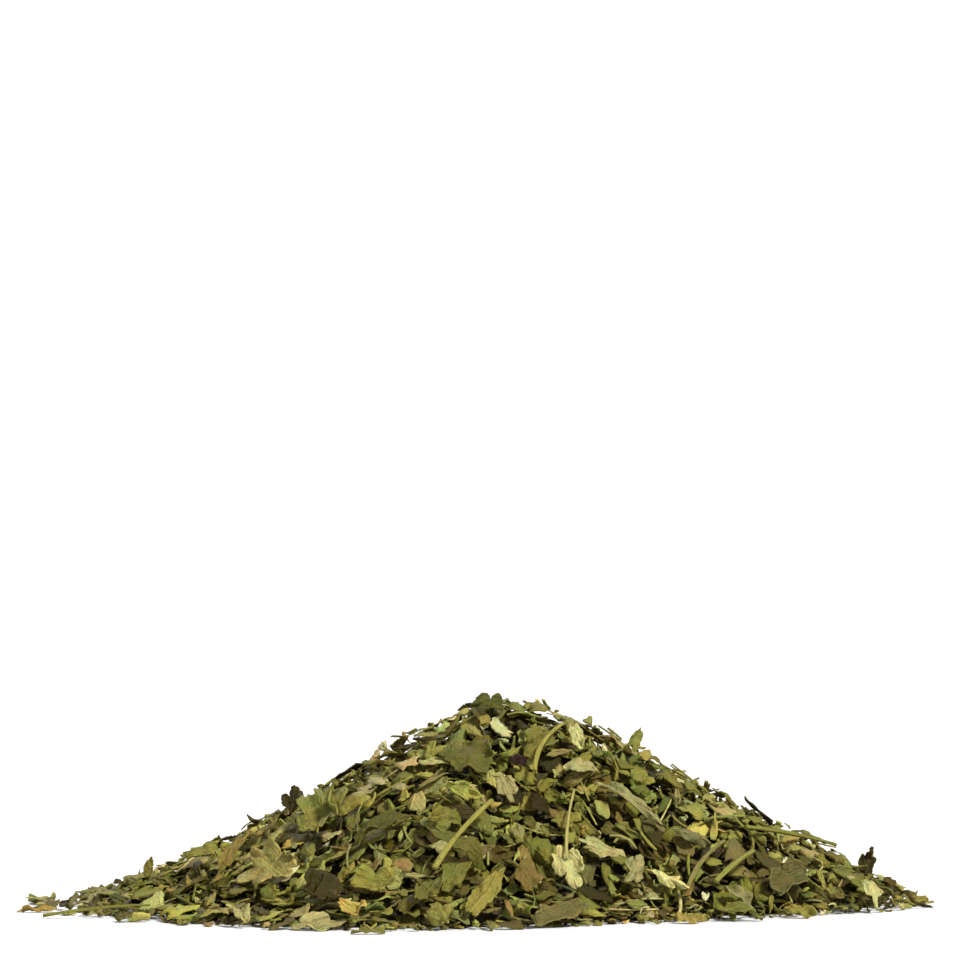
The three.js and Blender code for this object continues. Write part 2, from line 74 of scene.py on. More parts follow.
# ---- The larger pieces, where the imported model has them ----
# Name, tint, tone_and_painted_light, plan position, length and width, turn, lean, lift, lobes, fold, curl and
# twist, in millimetres and degrees. tone_and_painted_light scales the tint: partly the piece's own tone,
# partly painted light and shade for how lit the piece is. A lift of None is a piece that lies on the floor.
LEAVES = [
    ("lobed_leaf_left", "fresh", 1, (-31.5, -23), (19, 12.5), 98, 34, 3.4, 5, 1.6, -1.4, 0.5),
    ("dark_leaf_left", "dark", 1, (-38, -8), (7.2, 5.6), 80, 30, 2.6, 3, 0.7, 0.6, 0.4),
    ("folded_leaf_left", "grey", 1.9, (-42, -38), (18, 13), 152, 10, 3.0, 5, 3.0, -1.4, 1.0),
    ("domed_leaf_left", "dark", 1, (-31.5, -49.5), (9, 8), 60, 12, 2.2, 0, -1.6, -1.2, 0.2),
    ("toothed_leaf_left", "green", 1.45, (-21, -51.5), (11, 8), 170, 8, 2.4, 4, 0.9, 0.9, -0.7),
    ("gutter_leaf_left", "green", 0.52, (-20.5, -37), (16.5, 4.6), 30, 6, 2.8, 0, 1.9, -0.8, 0.6),
    ("skirt_leaf_left", "green", 1.45, (-56, -17), (13.5, 5.6), 14, 14, 2.4, 3, 0.8, -1.0, 0.5),
    ("upright_leaf_left", "green", 1, (-68.5, -7), (5, 2.6), 88, 55, 2.4, 0, 0.5, 0.5, 0.2),
    ("rolled_leaf_left", "pale", 1.2, (-47.5, -54.5), (6.4, 5), 95, 25, 2.4, 0, 1.9, 0.4, 0.3),
    ("pale_leaf_front", "pale", 1, (-32, -62), (12, 7), 14, 35, None, 3, 0.5, 0.6, 0.3),
    ("yellow_leaf_front", "yellow", 0.85, (-8, -61), (7.6, 6), 130, 20, 2.2, 3, 0.9, -0.8, 0.4),
    ("arched_leaf_front", "green", 0.75, (-4, -43.8), (17, 6.4), -20, 8, 4.0, 0, -0.8, -2.4, 0.6),
    ("tongue_leaf_front", "green", 0.85, (-10.4, -54.5), (12, 4.6), 57, 10, 2.4, 0, 1.0, -1.1, -0.5),
    ("slanting_leaf_front", "yellow", 1, (0.5, -54), (12.5, 4.6), 47, 14, 2.6, 0, -0.9, -1.3, 0.8),
    ("brown_leaf_front", "brown", 1.3, (9, -46.5), (8, 6.4), -50, 10, 2.2, 0, 0.7, -0.8, 0.6),
    ("broad_leaf_front", "grey", 0.85, (14, -54), (16.5, 6), 4, 22, 1.9, 0, 0.6, 0.8, -0.8),
    ("pale_leaf_middle", "pale", 1.45, (17, -41), (12, 7), -66, 10, 3.2, 3, 0.9, -1.1, 0.6),
    ("small_leaf_middle", "green", 1.2, (17, -29), (6.6, 4.2), 2, 10, 2.2, 3, 0.5, 0.5, -0.3),
    ("pale_leaf_right", "pale", 1.1, (24.5, -33), (12.5, 5), -12, 8, 2.6, 4, -0.9, -1.0, 0.7),
    ("hanging_leaf_top", "pale", 0.85, (5, -26.5), (8.4, 5), -60, 12, 2.5, 3, 0.7, -0.9, 0.4),
    ("bright_leaf_top", "fresh", 1.7, (-3.5, -29), (9, 4.6), -25, 8, 2.2, 3, 0.8, -0.7, 0.5),
    ("lobed_leaf_middle", "green", 1.12, (-7, -36), (13, 7.5), 20, 6, 2.2, 5, 1.0, 1.0, -0.6),
    ("broad_leaf_top", "green", 0.72, (-2, -20.5), (11, 9), 4, 10, 2.3, 0, -0.7, -0.7, 0.4),
    ("lobed_leaf_top", "green", 1, (12, -13.5), (9.5, 7.5), -140, 8, 2.3, 3, 0.7, -0.9, 0.5),
    ("narrow_leaf_top", "pale", 1.5, (19.5, -9), (6.4, 3.4), -64, 12, 2.4, 0, 0.8, -0.6, 0.3),
    ("oval_leaf_top", "pale", 1, (20.5, -16), (7.6, 4), 2, 6, 2.4, 0, -0.7, -0.8, 0.2),
    ("upright_leaf_right", "fresh", 1, (31.7, -2), (6, 2.8), 80, 55, 4.0, 0, 0.6, 0.6, 0.4),
    ("finger_leaf_right", "pale", 0.82, (31, -35.4), (10, 5.2), 56, 10, 2.4, 3, 0.8, -0.9, 0.6),
    ("notched_leaf_right", "pale", 1.8, (37.6, -35), (12, 3.8), -40, 10, 2.4, 3, -0.8, -0.7, 0.5),
    ("broad_leaf_right", "grey", 0.7, (62, -23.5), (13, 8.5), 20, 16, 2.6, 0, 1.1, 0.8, 0.9),
    ("pale_leaf_far_right", "pale", 1.4, (80, -16), (9.5, 4.4), -66, 25, 3.0, 3, 0.7, -0.8, 0.4),
    ("curled_leaf_far_right", "yellow", 1, (91.6, 0), (8, 4), 28, 40, None, 0, 1.3, 1.1, 0.3),
    ("upright_leaf_far_right", "dark", 1, (80.5, 4.5), (8, 3.8), 78, 65, 4.4, 3, 0.5, 0.4, 0.3),
    ("yellow_leaf_right", "yellow", 1, (65.6, -32.5), (6.8, 3.6), -16, 35, None, 0, 0.8, 0.3, 0.2),
    ("ground_leaf_right", "green", 1, (53, -40), (12.5, 4), 12, 35, None, 0, 0.7, 0.5, 0.3),
    ("long_leaf_right_upper", "pale", 0.8, (29.5, -19.5), (18, 3.2), -36, 8, 2.6, 0, 0.9, -0.8, 0.5),
    ("long_leaf_right_lower", "pale", 0.5, (43.5, -22.5), (11.5, 3.2), -14, 8, 2.4, 0, -0.8, -0.8, 0.5),
    ("top_leaf", "green", 0.55, (2, -6), (9, 4.6), 10, 6, 2.0, 4, 0.7, -0.8, 0.5),
    ("lobed_leaf_back", "fresh", 1, (-22, 38), (12, 10), 35, 0, 2.6, 5, 1.1, -1.2, 0.6),
    ("broad_leaf_back", "grey", 1, (30, 34), (13, 8), 160, 0, 2.4, 4, -0.9, -0.9, 0.6),
    ("ground_leaf_back", "green", 1, (12, 71), (9, 5), 25, 0, None, 3, 0.7, 0.5, 0.3),
    ("scrap_front", "green", 1, (-22, -71.3), (7.5, 2.6), 8, 20, None, 0, 0.5, 0.3, 0.2),
    ("ground_leaf_back_left", "grey", 1, (-62, 47), (8, 4.4), -40, 0, None, 0, 0.8, 0.4, 0.3),
    ("ground_leaf_back_right", "pale", 1, (58, 50), (8.6, 4.8), 130, 0, None, 3, 0.7, 0.5, 0.3),
    ("tan_strip_left", "tan", 0.65, (-49.5, -28.5), (15, 2.8), 55, 16, 4.4, 0, 0.9, 0.5, 0.4),
    ("tan_tip_far_left", "tan", 1, (-91.6, -17), (8.6, 2.6), 5, 30, None, 0, 0.5, -0.5, 0.3),
    ("tan_leaf_front", "tan", 1.5, (-25, -59.5), (8, 5), -20, 20, 2.4, 3, 0.7, 0.6, 0.4),
    ("red_bit_top", "red", 0.5, (7.5, -19.5), (4.8, 3.4), 10, 10, 2.2, 0, 0.4, 0.4, 0.2),
    ("tan_bit_right", "tan", 1, (42.3, -45.5), (7, 3), -4, 15, None, 0, 0.5, 0.4, 0.2),
    ("folded_leaf_front", "green", 1, (-5, -47.6), (11, 6), 62, 8, 0.8, 0, 0.3, -0.4, 0.2),
    ("curled_leaf_right", "pale", 0.65, (52, -33.5), (7, 4.4), -40, 10, 2.8, 0, 1.4, -0.8, 0.3),
]

# Name, tint, plan position, length, girth, turn, lift, bow.
STEMS = [
    ("green_stem_front", "yellow", (-4, -43), 25, 1.2, 48, 5.4, 0.6),
    ("straw_front", "straw", (17, -32.5), 22, 0.7, 83, 4.6, 0.5),
    ("knobbed_stem_top", "yellow", (13, -16), 17, 1.0, 59, 4.2, 1.2),
    ("grey_stem_right", "grey", (45, -29.5), 19, 1.0, 48, 3.6, 0.8),
    ("green_stem_right", "fresh", (51, -27), 16, 1.2, 34, 3.4, 0.3),
    ("stem_far_left", "green", (-78, -33), 22, 1.2, 5, 1.6, 0.9),
    ("stem_far_right", "green", (64, -8.5), 25, 1.2, -13, 1.6, 0.6),
    ("stem_back", "yellow", (4, 40), 16, 1.2, 20, 2.8, 0.9),
]

# ---- Tints of dried leaf, as they look in white light ----
TINTS = dict(
    green=0x6C6A2A, fresh=0x787834, dark=0x362F0A, grey=0x736B38, pale=0x9D975E,
    yellow=0x878038, tan=0x96823C, brown=0x605224, red=0x341C0E, straw=0x9A9055,
)


def linear(colour):
    """Linear light from a display colour in hexadecimal digits, by the sRGB curve."""
    shown = np.array([colour >> 16, colour >> 8 & 255, colour & 255]) / 255
    return np.where(shown < 0.04045, shown / 12.92, ((shown + 0.055) / 1.055) ** 2.4)


# ---- Heap form ----
def reach(bearing):
    """Peak to edge on a bearing: a smooth cubic through the four nearest values of REACH."""
    place = bearing / TAU % 1 * len(REACH)
    first = np.floor(place).astype(int)
    t = place - first
    a, b, c, d = (REACH[(first + step) % len(REACH)] for step in (-1, 0, 1, 2))
    return b + 0.5 * t * (c - a + t * (2 * a - 5 * b + 4 * c - d + t * (3 * (b - c) + d - a)))


def from_peak(x, y):
    """Bearing from the peak, and the share of the way out to the edge."""
    bearing = np.arctan2(y - PEAK[1], x - PEAK[0])
    return bearing, np.hypot(x - PEAK[0], y - PEAK[1]) / reach(bearing)


def heap_height(x, y):
    """Height * (1 - out ** rounding) ** slope, out being the share of the way to the edge, and low swells."""
    bearing, out = from_peak(x, y)
    left, right = np.maximum(0, -np.cos(bearing)) ** 2, np.maximum(0, np.cos(bearing)) ** 2
    fall = 1 - np.minimum(out, 1) ** ROUNDING
    lumps = np.sin(x / LUMP_LENGTH + 1) * np.cos(2 * y / LUMP_LENGTH + 0.6 * np.sin(x / 9))
    form = HEAP_HEIGHT * fall ** (SLOPE + SLOPE_LEFT * left + SLOPE_RIGHT * right)
    return form + LUMP_HEIGHT * lumps * np.minimum(1, 3 * fall * fall)


def unit(v):
    return v / np.linalg.norm(v)


def slope_facing(x, y, step=2.0):
    """Unit normal of the heap's form: (-dz/dx, -dz/dy, 1)."""
    east = (heap_height(x + step, y) - heap_height(x - step, y)) / (2 * step)
    north = (heap_height(x, y + step) - heap_height(x, y - step)) / (2 * step)
    return unit(np.array([-east, -north, 1.0]))


def placement(at, turn, lean, lift):
    """Axes (columns) and middle of a larger piece: its face is the slope's, leaned to the front by lean."""
    flat = lift is None
    facing = np.array([0, 0, 1.0]) if flat else slope_facing(*at)
    facing = unit(facing * np.cos(np.radians(lean)) - np.array([0, np.sin(np.radians(lean)), 0]))
    c, s = np.cos(np.radians(turn)), np.sin(np.radians(turn))
    along = np.array([c, s, 0]) if flat else np.array([c, 0, s])
    if not flat and -facing[1] > FRONT_LEAST:
        along[1] = -(along @ facing) / facing[1]
    along = unit(along - facing * (along @ facing))
    axes = np.stack([along, np.cross(facing, along), facing], 1)
    return axes, np.array([at[0], at[1], heap_height(*at)]) + facing * (lift or 0)


# ---- Rings of points ----
def ring_pairs(around):
    """Each point's number on a ring, and the next one's."""
    j = np.arange(around)
    return j, (j + 1) % around


def bands(around, rings, first=0):
    """Quads between rings of points, numbered ring after ring from first on."""
    j, k = ring_pairs(around)
    start = first + around * np.arange(rings - 1)[:, None]
    return np.stack([start + j, start + around + j, start + around + k, start + k], -1).reshape(-1, 4)


def map_cells(count, columns):
    """Column and row of each piece's cell on a square map."""
    return np.stack([np.arange(count) % columns, np.arange(count) // columns], 1)


# ---- Blades: closed thin solids over a polar grid ----
def ringed(edge, rings):
    """The middle, then copies of the edge drawn in to each ring's share."""
    return np.concatenate([np.zeros_like(edge[..., :1, :])] + [edge * ring for ring in rings], -2)


def blade_faces(spokes, ring_count):
    """Triangles and quads of one blade, as numbers of its points and of places on its map. The upper face's
    come first, then the lower face's, and on the map a band for the rim follows."""
    points = 1 + spokes * ring_count
    j, k = ring_pairs(spokes)
    fan = np.stack([0 * j, 1 + j, 1 + k], 1)
    ring = bands(spokes, ring_count, first=1)
    edge = 1 + spokes * (ring_count - 1)
    rim = np.stack([edge + j, points + edge + j, points + edge + k, edge + k], 1)
    rim_map = np.stack([edge + j, 2 * points + j, 2 * points + k, edge + k], 1)
    tris = np.concatenate([fan, fan[:, ::-1] + points])
    quads = np.concatenate([ring, ring[:, ::-1] + points])
    return SimpleNamespace(
        points=points,
        tris=tris,
        quads=np.concatenate([quads, rim]),
        quads_map=np.concatenate([quads, rim_map]),
        smooth_quads=np.arange(len(quads) + spokes) < len(quads),
        edge=edge,
        map_size=2 * points + spokes,
    )


LEAST_CURVE = 1e-4  # a sheet flatter than this is rolled as if it had this curve


def turned(x, y, angle):
    """Plane coordinates on axes turned by an angle."""
    return x * np.cos(angle) + y * np.sin(angle), y * np.cos(angle) - x * np.sin(angle)


def creased(x, y, z, turn, at, angle):
    """A crease across the sheet: what lies past it turns up about it by the angle."""
    u, v = turned(x, y, turn)
    past = v - at
    v = np.where(past > 0, at + past * np.cos(angle) - z * np.sin(angle), v)
    z = np.where(past > 0, past * np.sin(angle) + z * np.cos(angle), z)
    x, y = turned(u, v, -turn)
    return x, y, z


def rolled(x, z, angle, span):
    """A sheet rolled along x by an angle over a span, so that R = span / angle:
    x' = (R - z) sin(x / R) and z' = R - (R - z) cos(x / R)."""
    curve = angle / span
    radius = 1 / np.where(np.abs(curve) < LEAST_CURVE, LEAST_CURVE, curve)
    return (radius - z) * np.sin(x / radius), radius - (radius - z) * np.cos(x / radius)


def draw_waves(rng, size, lengths):
    """Directions, lengths and starts of the waves that crumple each piece."""
    return [rng.uniform(*ends, size) for ends in (ALL_ROUND, lengths, ALL_ROUND)]


def crumpled(x, y, crumple, waves):
    """The sum of a piece's waves: crumple * length * sin(TAU * along / length + start)."""
    z = 0
    for turn, length, start in zip(*(each.T[..., None] for each in waves)):
        along = x * np.cos(turn) + y * np.sin(turn)
        z = z + crumple * length * np.sin(TAU * along / length + start)
    return z


def thickened(mid, faces, thickness):
    """Upper and lower face: the middle surface moved along its normal by half the thickness."""
    corners = np.concatenate([faces.tris[: len(faces.tris) // 2], faces.quads[:, :3]])
    corners = corners[(corners < faces.points).all(1)]
    a, b, c = (mid[:, corners[:, k]] for k in range(3))
    normal = np.zeros_like(mid)
    each = np.cross(b - a, c - a)
    for k in range(3):
        np.add.at(normal, (slice(None), corners[:, k]), each)
    normal /= np.maximum(np.linalg.norm(normal, axis=-1, keepdims=True), 1e-9)
    half = np.asarray(thickness).reshape(-1, 1, 1) / 2 * normal
    return np.concatenate([mid + half, mid - half], 1)


# ---- Small pieces: how each kind is drawn ----
# Length in millimetres, width as a share of it, number of lobes, depth of the notches between them and of the
# teeth as shares of the half size, number of straight cuts, sharpest crease and roll in degrees.
MEASURES = ("length", "slim", "lobes", "notch", "tooth", "cuts", "crease", "roll")
KINDS = {
    "lobed": ((6.5, 12.0), (0.6, 0.95), (3, 5), (0.35, 0.65), (0.08, 0.26), (0, 1.5), (15, 75), (-60, 60)),
    "cut": ((4.5, 9.5), (0.4, 0.85), (2, 4), (0.05, 0.35), (0.05, 0.25), (1.5, 4), (10, 80), (-60, 60)),
    "strip": ((6.0, 12.5), (0.15, 0.34), (2, 5), (0.1, 0.45), (0.1, 0.35), (0, 2), (20, 110), (-80, 80)),
    "crumb": ((2.0, 4.6), (0.3, 0.9), (2, 4), (0.1, 0.5), (0.1, 0.35), (1, 3), (20, 100), (-90, 90)),
}
CUTS, CUT_OUT = 4, (0.4, 0.85)  # at most, and how far out, as a share of the half size
NO_CUT = 9.0  # a cut this far out takes nothing away
CREASES, CREASE_SHARES = 3, np.array([1.0, 0.8, 0.6])  # each crease's share of the sharpest
FIRST_CREASE_STRAY = 0.3  # from the midrib, in radians
CREASE_OUT, OFF_RIB = (0.0, 0.3), (-0.5, 0.5)  # of a crease and the midrib, by the width
PLEATS, CRUMPLES = (0.0, 0.16), (0.01, 0.045)  # heights, by the distance out and by the wave length
WAVES, WAVE_LENGTH = 3, (2.0, 7.0)
THICKNESS = (0.16, 0.28)
SPOKE_STRAY = (-0.3, 0.3)  # of an edge point, by the space between two
LOBE_POWER = 0.6  # below 1: round lobes, sharp notches
TOOTH_RANGE, RAGGED = (0.2, 1.4), (0.92, 1.08)
LEAST_ROLLED = 4.0  # a roll is spread over at least this length


def draw_pieces(rng, count, kinds):
    """Random leaf pieces: kinds by share, and measures evenly within their kind's ranges."""
    kind = rng.choice(len(kinds), count, p=list(kinds.values()))

    def within(measure):
        low, high = np.array([KINDS[name][MEASURES.index(measure)] for name in kinds]).T
        return (low[kind] + (high - low)[kind] * rng.random(count))[:, None]

    def between(ends, number=1):
        return rng.uniform(*ends, (count, number))

    length, slim = within("length"), within("slim")
    cut = np.arange(CUTS) < within("cuts")
    crease_turn = between(ALL_ROUND, CREASES)
    crease_turn[:, 0] = rng.normal(0, FIRST_CREASE_STRAY, count)
    crease_at = between(CREASE_OUT, CREASES) * length * slim
    return SimpleNamespace(
        count=count,
        length=length,
        width=length * slim,
        lobes=np.round(within("lobes")),
        notch=within("notch"),
        tooth=within("tooth"),
        phase=between(ALL_ROUND),
        cut_turn=between(ALL_ROUND, CUTS),
        cut_at=np.where(cut, between(CUT_OUT, CUTS), NO_CUT),
        crease_turn=crease_turn,
        crease_at=crease_at,
        crease_angle=np.radians(within("crease")) * CREASE_SHARES * rng.choice([-1, 1], (count, CREASES)),
        roll=np.radians(within("roll")),
        roll_turn=between((0, np.pi)),
        pleat=between(PLEATS),
        crumple=between(CRUMPLES),
        waves=draw_waves(rng, (count, WAVES), WAVE_LENGTH),
        off_rib=between(OFF_RIB) * length * slim,
        thickness=between(THICKNESS),
    )


def torn_edge(piece, rng, spokes):
    """Edge points, and which way each is pleated: lobes |cos| ** power, every other point drawn in to leave
    teeth, and straight cuts d / cos."""
    spacing = TAU / spokes
    turn = np.arange(spokes) * spacing + rng.uniform(*SPOKE_STRAY, (piece.count, spokes)) * spacing
    inward = np.arange(spokes) % 2
    lobe = np.abs(np.cos(piece.lobes / 2 * (turn - piece.phase))) ** LOBE_POWER
    radius = 1 - piece.notch * (1 - lobe)
    radius = radius * (1 - piece.tooth * inward * rng.uniform(*TOOTH_RANGE, radius.shape))
    radius = radius * rng.uniform(*RAGGED, radius.shape)
    for k in range(CUTS):
        facing = np.maximum(np.cos(turn - piece.cut_turn[:, k, None]), 0.05)
        radius = np.minimum(radius, piece.cut_at[:, k, None] / facing)
    edge = np.stack([radius * np.cos(turn) * piece.length, radius * np.sin(turn) * piece.width], -1) / 2
    return edge, 1 - 2 * inward


def shape_pieces(piece, rng, spokes, rings):
    """Points of every piece, its leaf coordinates (along, across, share of the way out), and its faces."""
    edge, pleat_side = torn_edge(piece, rng, spokes)
    flat = ringed(edge, rings)
    share = np.concatenate([[0], np.repeat(rings, spokes)])
    side = np.concatenate([[0], np.tile(pleat_side, len(rings))])
    x, y = flat[..., 0], flat[..., 1]
    leaf = np.stack([x, y + piece.off_rib, np.broadcast_to(share, x.shape)], -1)
    z = crumpled(x, y, piece.crumple, piece.waves) + piece.pleat * side * np.hypot(x, y) * 0.5
    for crease in zip(piece.crease_turn.T, piece.crease_at.T, piece.crease_angle.T):
        x, y, z = creased(x, y, z, *(each[:, None] for each in crease))
    u, v = turned(x, y, piece.roll_turn)
    u, z = rolled(u, z, piece.roll, np.maximum(piece.length, LEAST_ROLLED))
    x, y = turned(u, v, -piece.roll_turn)
    mid = np.stack([x, y, z], -1)
    mid -= mid.mean(1, keepdims=True)
    faces = blade_faces(spokes, len(rings))
    return thickened(mid, faces, piece.thickness), np.concatenate([leaf, leaf], 1), faces


# ---- Laying the small pieces down on a height map ----
CELL = 1.5
MAP_LOW = np.array([-105.0, -84.0])
MAP_SHAPE = (140, 112)
SHELL = 7.0  # the small pieces fill the heap to this depth, over a plain core
CORE_EDGE = 0.78  # the core ends at this share of the reach
STICK_OUT = np.array([0.8, 1.5, 0.8])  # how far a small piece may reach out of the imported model's box
CLEARANCE = 0.2  # kept under a larger piece
LEAST_FORM = 0.7  # pieces are laid to at least this height
STEEP_SHARE, STEEPER = 0.12, 3  # a few pieces stand steeper than the others
THIN_HEAP = 7  # where the heap is lower than this, pieces lie flatter


def cells(points):
    """Row and column of the height map under each point."""
    sides = zip(points.T, MAP_LOW, MAP_SHAPE)
    return tuple(np.clip(((each - low) / CELL).astype(int), 0, size - 1) for each, low, size in sides)


def turn_about(axis, angle):
    """Rotation matrix about a unit axis, by Rodrigues' formula."""
    x, y, z = axis
    cross = np.array([[0, -z, y], [z, 0, -x], [-y, x, 0]])
    return np.eye(3) + np.sin(angle) * cross + (1 - np.cos(angle)) * cross @ cross


def ground_slope(top, i, j, sides=3):
    """Unit normal of the laid surface round a cell, from the mean heights on its four sides."""
    i = min(max(i, sides), MAP_SHAPE[0] - sides - 1)
    j = min(max(j, sides), MAP_SHAPE[1] - sides - 1)
    patch = top[i - sides : i + sides + 1, j - sides : j + sides + 1]
    run = (sides + 1) * CELL
    east = (patch[sides + 1 :].mean() - patch[:sides].mean()) / run
    north = (patch[:, sides + 1 :].mean() - patch[:, :sides].mean()) / run
    return unit(np.array([-east, -north, 1.0]))


class Pile:
    """The heap while it is being laid: the height reached in each cell, and what may not be covered."""

    def __init__(self):
        middles = (low + CELL * (np.arange(size) + 0.5) for low, size in zip(MAP_LOW, MAP_SHAPE))
        place = np.meshgrid(*middles, indexing="ij")
        self.form = heap_height(*place)
        self.top = np.where(from_peak(*place)[1] < CORE_EDGE, np.maximum(self.form - SHELL, 0), 0)
        self.ceiling = np.full(MAP_SHAPE, np.inf)
        self.box = np.array(cad_box) / MM + np.array([-STICK_OUT, STICK_OUT])

    def keep_clear(self, points):
        """Nothing is laid over these points until they are covered."""
        np.minimum.at(self.ceiling, cells(points), points[:, 2] - CLEARANCE)

    def cover(self, points):
        """Later pieces rest on these points."""
        under = cells(points)
        self.ceiling[under] = np.inf
        np.maximum.at(self.top, under, points[:, 2])

    def lay(self, shapes, rng, below, proud=2.0, tilt=0.3, tries=10, settle=0.9, zone=(0.0, 0.99)):
        """Lays pieces up to a depth below the heap's form. Each takes the emptiest of a few random places in
        a zone, given as shares of the way from peak to edge. It lies on the slope with a random tilt, lowered
        until the share settle of its points clears what is below. One that stands too proud is left out."""
        goal = np.maximum(self.form - below, LEAST_FORM)
        limit = np.minimum(self.ceiling, goal + proud)
        placed, kept = [], []
        for index, points in enumerate(shapes):
            bearing = rng.uniform(0, TAU, tries)
            out = np.sqrt(rng.uniform(zone[0] ** 2, zone[1] ** 2, tries)) * reach(bearing)
            spots = PEAK + out[:, None] * np.stack([np.cos(bearing), np.sin(bearing)], 1)
            i, j = cells(spots)
            best = np.argmax(goal[i, j] - self.top[i, j])
            heading, lean_to = rng.uniform(0, TAU, 2)
            lean = rng.normal(0, tilt) * (STEEPER if rng.random() < STEEP_SHARE else 1)
            lean *= min(1, self.form[i[best], j[best]] / THIN_HEAP)
            up = ground_slope(self.top, i[best], j[best])
            along = unit(np.cross(up, [np.sin(heading), -np.cos(heading), 0.01]))
            axes = np.stack([along, np.cross(up, along), up], 1)
            hinge = axes @ np.array([np.cos(lean_to), np.sin(lean_to), 0])
            world = points @ (turn_about(hinge, lean) @ axes).T
            world[:, :2] += spots[best]
            under = cells(world)
            depth = np.sort(self.top[under] - world[:, 2])
            world[:, 2] += max(depth[int(settle * (len(depth) - 1))], -world[:, 2].min())
            inside = (world > self.box[0]).all() and (world < self.box[1]).all()
            if not inside or (world[:, 2] > limit[under]).any():
                continue
            np.maximum.at(self.top, under, world[:, 2])
            placed.append(world)
            kept.append(index)
        return np.array(placed), np.array(kept, int)


# ---- Meshes ----
FACE_MIDDLE = np.array([0.25, 0.5])  # of the upper face in its cell of a blade's map
FACE_SIZE, RIM_SIZE = np.array([0.19, 0.38]), np.array([0.235, 0.47])  # half sizes of the face and its rim
HALF_CELL = [0.5, 0.0]


def add_object(name, data):
    """An object at the origin of the scene."""
    added = bpy.data.objects.new(name, data)
    bpy.context.scene.collection.objects.link(added)
    return added


def fill(items, key, values, kind=np.float32):
    items.foreach_set(key, values.astype(kind).ravel())


def build_mesh(name, points, tris, quads, smooth, tint, leaf, uv):
    """One mesh from points in millimetres, faces, and what the materials read."""
    mesh = bpy.data.meshes.new(name)
    corners = np.concatenate([tris.ravel(), quads.ravel()])
    sizes = np.concatenate([np.full(len(tris), 3), np.full(len(quads), 4)])
    mesh.vertices.add(len(points))
    fill(mesh.vertices, "co", points * MM)
    mesh.loops.add(len(corners))
    fill(mesh.loops, "vertex_index", corners, np.int32)
    mesh.polygons.add(len(sizes))
    fill(mesh.polygons, "loop_start", np.cumsum(sizes) - sizes, np.int32)
    fill(mesh.polygons, "use_smooth", smooth, bool)
    mesh.update(calc_edges=True)
    tint = np.concatenate([tint, np.ones((len(tint), 1))], 1)
    fill(mesh.attributes.new("tint", "FLOAT_COLOR", "POINT").data, "color", tint)
    fill(mesh.attributes.new("leaf", "FLOAT_VECTOR", "POINT").data, "vector", leaf)
    fill(mesh.uv_layers.new(name="OFBake").data, "uv", uv)
    return add_object(name, mesh)


def leaf_map(leaf, faces):
    """Places on one square map: a cell for each piece, its upper face in the left half, its lower face in the
    right half, and its rim as a band round the upper face."""
    count = len(leaf)
    columns = int(np.ceil(np.sqrt(count / 2)))
    rows = int(np.ceil(count / columns))
    flat = leaf[:, : faces.points, :2]
    flat = flat / np.abs(flat).max(1, keepdims=True)
    upper = FACE_MIDDLE + FACE_SIZE * flat
    rim = FACE_MIDDLE + RIM_SIZE * flat[:, faces.edge :]
    places = np.concatenate([upper, upper + HALF_CELL, rim], 1)
    return (places + map_cells(count, columns)[:, None]) / [columns, rows]


def repeated(rows, count, size):
    """Faces of many alike pieces, from one piece's faces and its number of points."""
    return (rows + size * np.arange(count)[:, None, None]).reshape(-1, rows.shape[1])


def build_blades(name, points, leaf, tint, faces):
    """A mesh of many blades. tint holds the colours of each one's upper and lower face."""
    count = len(points)
    tris, quads = (repeated(rows, count, 2 * faces.points) for rows in (faces.tris, faces.quads))
    corners = [repeated(rows, count, faces.map_size).ravel() for rows in (faces.tris, faces.quads_map)]
    uv = leaf_map(leaf, faces).reshape(-1, 2)[np.concatenate(corners)]
    smooth = np.concatenate([np.ones(len(tris), bool), np.tile(faces.smooth_quads, count)])
    colours = np.repeat(tint, faces.points, axis=1).reshape(-1, 3)
    return build_mesh(name, points.reshape(-1, 3), tris, quads, smooth, colours, leaf.reshape(-1, 3), uv)


# ---- Shader maths ----
class Value:
    """A socket of a node tree. Arithmetic on it adds Math nodes."""

    def __init__(self, shader, socket):
        self.shader = shader
        self.socket = socket

    def math(self, operation, *others):
        return self.shader.add("ShaderNodeMath", {"operation": operation}, dict(enumerate((self, *others))))

    def __add__(self, other):
        return self.math("ADD", other)

    def __mul__(self, other):
        return self.math("MULTIPLY", other)

    def __sub__(self, other):
        return self.math("SUBTRACT", other)

    def __rsub__(self, other):
        return self.shader.add("ShaderNodeMath", {"operation": "SUBTRACT"}, {0: other, 1: self})

    __radd__ = __add__
    __rmul__ = __mul__


